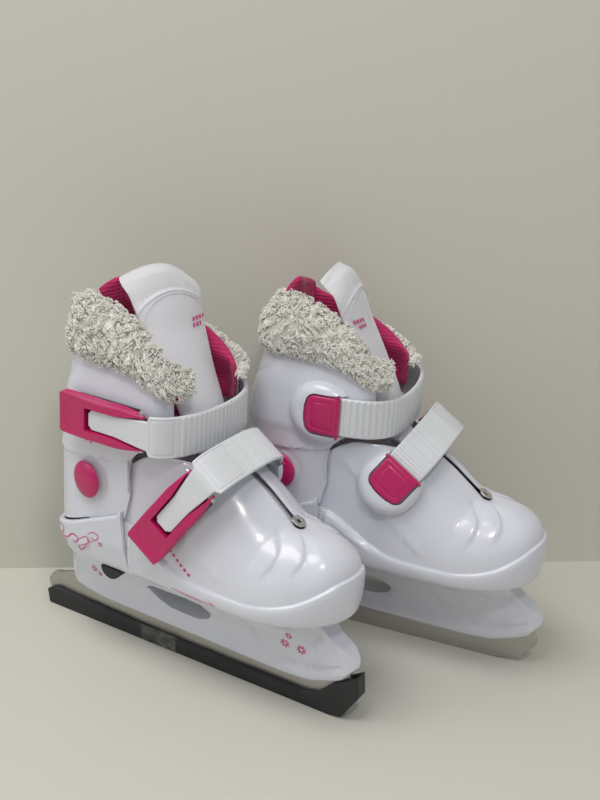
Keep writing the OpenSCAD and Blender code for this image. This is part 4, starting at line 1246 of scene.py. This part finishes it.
def tongue(side):
    """A satin pad with a ribbed knit band over its top and a stitched piping under the band."""
    last = len(TONGUE_LINE) - 1
    turn = 20.0 if side == "right" else 4.0
    ks = np.concatenate([np.linspace(0, 4.4, 40), np.linspace(4.45, last, 64)])
    turns = circle(240)
    loops = []
    for k in ks:
        w = float(tongue_w(k))
        end = min(1.0, math.sqrt(max(0.0, (last + 0.02 - k) / 0.9)), math.sqrt(k / 0.4 + 0.02))
        half_t = 3.6 * end
        y = w * squared(np.cos(turns), 0.75)
        d = 3.6 - half_t * squared(np.sin(turns), 0.62)
        front = ease((3.8 - d) / 1.2)
        rib = 0.5 + 0.5 * np.cos(2 * math.pi * y / 1.35)
        on_band = ease((k - band_edge(y) - 0.05) / 0.05)
        piping = np.exp(-((k - band_edge(y) + 0.06) / 0.09) ** 2)
        pillow = 0.8 * (1 - on_band) * (1 - (y / w) ** 2)
        d = d - front * (0.45 * rib * on_band + 0.75 * piping + pillow - 0.3)
        loops.append(np.column_stack(tongue_point(k, y, d, turn)))
    mesh = Mesh().bar(np.array(loops))
    for i, f in enumerate(mesh.faces):
        if ks[min(f[0] // len(turns), len(ks) - 1)] > band_edge(mesh.points[f[0]][1]) + 0.02:
            mesh.marks[i] = 1
    body = f"{side}_cuff"
    obj = build(f"{side}_satin_tongue", side, mesh, [SATIN, BAND_KNIT], body,
                [f"{side}_tongue_upper"])
    thread = Mesh()
    for y in np.arange(-22, 22.1, 2.3):
        ends = [np.array(tongue_point(band_edge(v) - 0.36, v, -0.62, turn))
                for v in (y - 0.75, y + 0.75)]
        way = unit(ends[1] - ends[0])
        lift = np.cross(way, (0, 0, 1))
        rise = np.cross(lift, way)
        rows = [[e + r * (math.cos(t) * lift + math.sin(t) * rise) + way * o for t in circle(6)]
                for e, r, o in ((ends[0], 0.12, -0.3), (ends[0], 0.34, 0), (ends[1], 0.34, 0),
                                (ends[1], 0.12, 0.3))]
        thread.bar(np.array(rows))
    build(f"{side}_tongue_stitches", side, thread, [WHITE_KNIT], body)
    marks = Mesh()
    for row, (k, y0) in enumerate(((4.15, 8.5), (3.9, 7.5))):
        for j in range(4 - row):
            y = y0 + j * 3.1
            quad = [tongue_point(k + dk, y + dy, -0.85, turn)
                    for dk, dy in ((0, 0), (0, 1.9), (0.16, 2.5), (0.16, 0.6))]
            marks.add(quad, [(0, 1, 2, 3)])
    build(f"{side}_tongue_dashes", side, marks, [PRINT], body, solid=False)


def tongue_foot(side):
    """The lower end of the tongue, which shows over the instep between the two straps."""
    stations = [(140.5, 21.5, 8), (143, 19, 11), (146, 15, 14), (150, 11, 17.5), (153.5, 8, 19)]
    at = [line_of([(i, p[j]) for i, p in enumerate(stations)]) for j in range(3)]
    turns = circle(96)
    loops = []
    for k in np.linspace(0, 4, 28):
        z, x, w = (float(f(k)) for f in at)
        end = min(1.0, math.sqrt(max(0.01, (4.05 - k) / 0.5)), math.sqrt(k / 0.5 + 0.02))
        y = w * squared(np.cos(turns), 0.75)
        d = 3 - 2.8 * end * squared(np.sin(turns), 0.62)
        quilt = 0.35 * np.cos(2 * math.pi * y / 9) * (d < 3)
        loops.append(np.column_stack([x - 0.011 * y * y - d + quilt, y, z - 0.4 * d]))
    obj = build(f"{side}_instep_pad", side, Mesh().bar(np.array(loops)), [SATIN], f"{side}_chassis",
                [f"{side}_tongue_lower"])


LINER_LOW, LINER_HIGH, LINER_IN, LINER_COLUMNS = 67.4, 131, 6.2, 40


def liner_upright(start, n, inset):
    """Points straight up the lining, from a place on the boot's outline and its way inward."""
    z = np.linspace(LINER_LOW, LINER_HIGH, LINER_COLUMNS)
    return np.column_stack([np.outer(np.full(LINER_COLUMNS, LINER_IN + inset), n) + start, z])


def liner_foot(side):
    """The white textured lining inside the lower boot, quilted in rows."""
    grids = []
    for inset in (WALL + 1, WALL + 4.2):
        rows = []
        for a in np.radians(np.linspace(0, 88, 20)):
            start = heel_point(a)
            n = -np.array([start[0] - max(start[0], HEEL_X), start[1]])
            n /= np.linalg.norm(n)
            rows.append(liner_upright(start, n, inset))
        for x in np.linspace(-56, TOE_X - 1, 66):
            if x < -44.5:
                start, n = np.array([x, -BOOT_HALF_W]), np.array([0, 1.0])
                rows.append(liner_upright(start, n, inset))
            else:
                room = inset + float(slide_room(x)) + 1.2 * ease((x - 40) / 18)
                rows.append(toe_side_column(x, room, LINER_LOW, False, LINER_COLUMNS))
        for a in np.radians(np.linspace(90, 0, 24)):
            rows.append(toe_front_column(a, inset + 1.7, LINER_LOW, LINER_COLUMNS))
        grids.append(mirrored(np.array(rows), ring=True))
    outer, inner = grids
    quilt = 0.35 * np.sin(inner[..., 2] * 2 * math.pi / 7)
    inner = inner + normals(inner, ring=True) * quilt[..., None] * -1
    obj = build(f"{side}_quilted_liner", side, Mesh().wall(outer, inner, ring=True), [WHITE_KNIT],
                f"{side}_chassis", [f"{side}_liner_foot"])


ROLL_COLUMNS, LOCK_PITCH, STRANDS = 24, 3.0, 8
FUR_TOP = {True: line_of([(HEEL_BACK, 221), (-75, 227), (-50, 232), (-18, 222), (4, 198)]),
           False: line_of([(HEEL_BACK, 221), (-75, 216), (-50, 209), (-18, 200), (4, 185)])}


def fur_roll_point(station, turn, full):
    """A point on the fur roll: turn 0 is its lower outer edge, a half turn its top."""
    x = station_x(station)
    low, high = float(rim_top(x)) - 1.0, float(FUR_TOP[full](x))
    end = math.sqrt(min(1.0, max(0.03, (11.5 - x) / 6)))
    z = (low + high) / 2 - (high - low) / 2 * math.cos(turn) * end
    over = 5.0 * ease(turn / math.pi - 0.25) if full else 0.0
    inset = -1.0 + over - 4.4 * math.sin(turn) * end
    return collar_point(station, z, inset)


def fur_collar(side):
    """A curly wool roll: a lumpy base and some thousands of short curls."""
    rng = np.random.default_rng(7 if side == "right" else 11)
    stations = collar_stations(11, 46, 26)

    def roll(turns):
        return both_sides(lambda full: np.array([[fur_roll_point(s, t, full) for t in turns]
                                                 for s in stations]), side)

    base = roll(circle(32))
    lumps = rng.normal(0, 0.55, base.shape[:2])
    lumps = (lumps + np.roll(lumps, 1, 0) + np.roll(lumps, 1, 1)) / 2
    mesh = Mesh().bar(base + normals(base) * (lumps[..., None] - 0.5))
    skin = roll(np.linspace(-0.35, 3.7, ROLL_COLUMNS))
    out = normals(skin)
    down = unit(-np.gradient(skin, axis=1), 1e-9)
    along = unit(np.gradient(skin, axis=0), 1e-9)
    seg = np.linalg.norm(np.diff(skin[:, 12], axis=0), axis=1)
    far = np.concatenate([[0], np.cumsum(seg)])
    for place in np.arange(1.0, far[-1], LOCK_PITCH):
        i = int(np.clip(np.searchsorted(far, place + rng.uniform(-1, 1)), 1, len(skin) - 2))
        for j in np.arange(0, ROLL_COLUMNS, 2.0):
            j = int(np.clip(j + rng.uniform(-0.9, 0.9), 0, ROLL_COLUMNS - 1))
            lock = (rng.uniform(2.4, 4.2), rng.uniform(1.6, 3.0), rng.uniform(0.8, 1.4),
                    rng.uniform(0, 6.28), rng.uniform(0.7, 1.1) * rng.choice((-1, 1)),
                    rng.uniform(-0.8, 0.8))
            for _ in range(STRANDS):
                strand(mesh, rng, skin[i, j], out[i, j], down[i, j], along[i, j], lock)
    obj = build(f"{side}_wool_collar", side, mesh, [WOOL], f"{side}_cuff",
                [f"{side}_fur_collar"])


def strand(mesh, rng, root, n, d, a, lock):
    """One curl of a lock of wool: it rises, bends over and turns with its neighbours."""
    length, rise, radius, phase, turns, lean = lock
    start = root + a * rng.uniform(-1.5, 1.5) + d * rng.uniform(-1.5, 1.5) - n * 0.4
    length, rise = length * rng.uniform(0.8, 1.2), rise * rng.uniform(0.7, 1.1)
    phase += rng.uniform(-0.5, 0.5)
    t = np.linspace(0, 1, 7)
    ang = phase + 2 * math.pi * turns * t
    flow = d + a * (lean + rng.uniform(-0.15, 0.15))
    line = (start + np.outer(rise * np.sin(math.pi * 0.72 * t), n)
            + np.outer(length * t ** 1.3, flow)
            + np.outer(radius * t * np.cos(ang), a) + np.outer(radius * t * np.sin(ang), n))
    thick = 0.62 - 0.3 * t
    loops = []
    for k in range(len(t)):
        way = line[min(k + 1, 6)] - line[max(k - 1, 0)]
        u = unit(np.cross(way, (0.3, 0.5, 0.8)), 1e-9)
        v = unit(np.cross(way, u), 1e-9)
        loops.append([line[k] + thick[k] * (math.cos(q) * u + math.sin(q) * v)
                      for q in (0.0, 2.094, 4.189)])
    mesh.bar(np.array(loops))


# ---------------------------------------------------------------- printed motifs, guard, tape

PETALS, INK_T = 8, 0.09


def petals(x, z, radius):
    """A little flower: round petals about an open centre, as closed outlines."""
    shapes = []
    for k in range(PETALS):
        a = 2 * math.pi * k / PETALS + 0.2
        cx, cz = x + radius * 0.64 * math.cos(a), z + radius * 0.64 * math.sin(a)
        shapes.append([(cx + radius * 0.37 * math.cos(t) * math.cos(a)
                        - radius * 0.19 * math.sin(t) * math.sin(a),
                        cz + radius * 0.37 * math.cos(t) * math.sin(a)
                        + radius * 0.19 * math.sin(t) * math.cos(a))
                       for t in circle(12)])
    return shapes


def brush_line(points, width, count=40):
    """A line of varying width, as short closed outlines in a row."""
    path = smooth_path(points, count)
    way = unit(np.gradient(path, axis=0))
    side_way = np.column_stack([-way[:, 1], way[:, 0]])
    w = width * (0.35 + 0.65 * np.sin(np.linspace(0.1, math.pi - 0.1, count))) / 2
    left, right = path + side_way * w[:, None], path - side_way * w[:, None]
    return [[tuple(left[k]), tuple(left[k + 1]), tuple(right[k + 1]), tuple(right[k])]
            for k in range(count - 1)]


def printed(name, side, surface, shapes, body):
    """Lays flat (x, z) shapes on the outer side of a shell, as a thin layer of ink."""
    mesh = Mesh().sheet(surface)
    tree = BVHTree.FromPolygons(mesh.points, mesh.faces)
    ink = Mesh()
    for shape in shapes:
        middle = np.mean(shape, axis=0)
        points = []
        for x, z in [tuple(middle)] + list(shape):
            hit = tree.ray_cast(Vector((x, -90, z)), Vector((0, 1, 0)))
            if hit[0] is None:
                break
            points.append(tuple(hit[0] + Vector((0, -INK_T, 0))))
        if len(points) == len(shape) + 1:
            n = len(shape)
            ink.add(points, [(0, 1 + (k + 1) % n, 1 + k) for k in range(n)])
    build(name, side, ink, [PRINT], body, solid=False)


def motifs(side, toe, heel, holder, cuff):
    chassis = f"{side}_chassis"
    flowers = (petals(76.5, 44.6, 2.5) + petals(73, 37.2, 3.4) + petals(84.3, 36.4, 3.4)
               + petals(-74, 38.5, 2.6) + petals(-69.5, 35.5, 1.8))
    printed(f"{side}_holder_flowers", side, holder, flowers, chassis)
    swirl = (brush_line([(-79, 80), (-76, 83), (-73, 80), (-76, 75.5), (-70, 76), (-64, 80.5),
                         (-60, 79), (-61, 75.5), (-65, 76)], 1.1, 60)
             + brush_line([(-63, 75), (-57, 80), (-53, 82), (-52, 78), (-56, 73), (-60, 69.5),
                           (-61, 72), (-55, 76), (-47, 81)], 0.9, 60)
             + brush_line([(-52, 84), (-48, 86.5), (-44, 85), (-46, 81.5), (-50, 82)], 0.8, 30)
             + petals(-43, 79.5, 1.8))
    printed(f"{side}_heel_flourish", side, heel, swirl, chassis)
    arrow = brush_line([(11, 68.4), (20, 67.6), (30, 67.1), (39, 67)], 0.9)
    arrow += [[(38.5, 69), (43.5, 66.8), (38.5, 65)]]
    printed(f"{side}_band_arrow", side, toe, arrow, f"{side}_toe")
    strip = []
    for k in range(7):
        t = k / 6
        x, z, r = 5.3 + 17.5 * t, 93.6 - 13.2 * t, 1.45
        strip += [[(x - r, z), (x, z - r), (x + r, z), (x, z + r)]]
    printed(f"{side}_side_diamonds", side, toe, strip, f"{side}_toe")
    dots = [[(x + 0.8 * math.cos(t), z + 0.8 * math.sin(t))
             for t in circle(10)]
            for x, z in ((-79.5, 100), (-80, 104.5), (-80.5, 109), (-55, 145.5), (-51.5, 144.6))]
    printed(f"{side}_cuff_dots", side, cuff, dots + petals(-81, 115, 2.0), f"{side}_cuff")


def edge_guard():
    """The guard keeps its CAD shape; tape is a thin wrinkled wrap round it."""
    dress("blade_guard", BLACK, 0.7)
    mesh = Mesh()
    rng = np.random.default_rng(3)
    xs = np.linspace(-38, -10, 26)
    loop = ([(-5.18, z) for z in np.linspace(8.0, -3.6, 14)] + [(-4.4, -4.08)]
            + [(y, -4.12) for y in np.linspace(-3.5, 3.5, 8)] + [(4.4, -4.08)]
            + [(5.18, z) for z in np.linspace(-3.6, 8.0, 14)])
    rough = rng.uniform(0, 0.16, (len(xs), len(loop)))
    grid = np.array([[(x + rng.uniform(-0.3, 0.3), y * (1 + rough[i, j] / 6), max(z, -4.0) + 0.02)
                      for j, (y, z) in enumerate(loop)] for i, x in enumerate(xs)])
    mesh.sheet(grid)
    build("guard_tape_wrap", "right", mesh, [TAPE], "guard", ["guard_tape"], solid=False)


# ---------------------------------------------------------------- camera, light, stage

LENS, SENSOR_WIDTH = 54.36, 36.0
CAMERA_AT, CAMERA_HEADING = (0.2923, -0.6326, 0.4365), (0.909, -0.417)
CAMERA_DOWN, CAMERA_ROLL = math.radians(20.89), math.radians(3.84)
STAGE_WIDE, STAGE_DEEP, WALL_HIGH, WALL_GAP = 2.2, 2.5, 1.8, 0.020


def camera():
    data = bpy.data.cameras.new("camera")
    data.lens, data.sensor_width = LENS, SENSOR_WIDTH
    cam = put("camera", data)
    heading, down = math.atan2(*CAMERA_HEADING), CAMERA_DOWN
    look = Vector((math.cos(heading) * math.cos(down), math.sin(heading) * math.cos(down),
                   -math.sin(down)))
    turn = look.to_track_quat("-Z", "Y").to_matrix() @ Matrix.Rotation(CAMERA_ROLL, 3, "Z")
    cam.matrix_world = Matrix.Translation(CAMERA_AT) @ turn.to_4x4()
    data.clip_start, data.clip_end = 0.01, 20
    bpy.context.scene.camera = cam


def area_light(name, at, toward, size, power, colour):
    data = bpy.data.lights.new(name, "AREA")
    data.shape = "RECTANGLE"
    data.size, data.size_y = size
    data.energy = power
    data.color = colour
    lamp = put(name, data)
    lamp.location = at
    lamp.rotation_mode = "QUATERNION"
    lamp.rotation_quaternion = (Vector(toward) - Vector(at)).to_track_quat("-Z", "Y")


def pale_wash(name, colour, fine, one_sided=False):
    """Pale matt paint for the floor and the wall, with a faint brushed unevenness."""
    mat, tree, shader = finish(name, 0.62)
    drift = place_group(tree, DRIFT, Scale=fine, Contrast=0.5)
    tint(tree, shader, drift.outputs["Mask"], tuple(c * 0.965 for c in colour), colour)
    if one_sided:
        behind = tree.nodes.new("ShaderNodeNewGeometry").outputs["Backfacing"]
        seen = math_node(tree, "ADD", math_node(tree, "MULTIPLY", behind, -1.0), 1.0)
        tree.links.new(seen, shader.inputs["Alpha"])
    return mat


def stage_panel(name, corners, mat):
    data = bpy.data.meshes.new(name)
    data.from_pydata(corners, [], [(0, 1, 2, 3)])
    data.materials.append(mat)
    obj = put(name, data)


def studio():
    side_way = Vector((0.830, 0.558, 0))
    back = Vector((-0.558, 0.830, 0))
    wall_at = Vector((-0.025, 0.079, 0)) + back * WALL_GAP
    wide = side_way * STAGE_WIDE
    floor = pale_wash("pale_floor", (0.64, 0.63, 0.56), 3.0)
    wall = pale_wash("pale_wall", (0.68, 0.67, 0.59), 4.0, one_sided=True)
    deep = back * STAGE_DEEP
    stage_panel("floor", [deep - wide, -deep - wide, -deep + wide, deep + wide], floor)
    up = Vector((0, 0, WALL_HIGH))
    stage_panel("wall", [wall_at - wide, wall_at + wide, wall_at + wide + up, wall_at - wide + up],
                wall)
    area_light("ceiling_panel", (-0.25, -0.55, 1.5), (0.0, 0.0, 0.05), (0.9, 0.6), 9.5,
               (1.0, 0.985, 0.95))
    area_light("window_fill", (-1.3, -0.9, 0.9), (0, 0, 0.1), (1.0, 1.0), 6.2, (0.93, 0.96, 1.0))
    area_light("small_lamp", (0.55, -0.75, 1.25), (0.05, 0, 0.1), (0.18, 0.18), 3.4,
               (1.0, 0.98, 0.95))
    world = bpy.data.worlds.new("soft_room")
    world.use_nodes = True
    sky = world.node_tree.nodes["Background"]
    sky.inputs["Color"].default_value = (0.95, 0.96, 1.0, 1)
    sky.inputs["Strength"].default_value = 0.37
    bpy.context.scene.world = world
    bpy.context.scene.view_settings.view_transform = "Standard"


camera()
studio()
for side in SIDES:
    toe = toe_shell(side)
    heel = heel_shell(side)
    cuff = cuff_shell(side)
    holder = blade_holder(side)
    for which in BUCKLES:
        strap(side, which)
        lever(side, which)
        clamp(side, which)
        clamp_housing(side, which)
    ankle_caps(side)
    carried_over(side)
    liner_collar(side)
    liner_foot(side)
    tongue(side)
    tongue_foot(side)
    fur_collar(side)
    motifs(side, toe, heel, holder, cuff)
edge_guard()
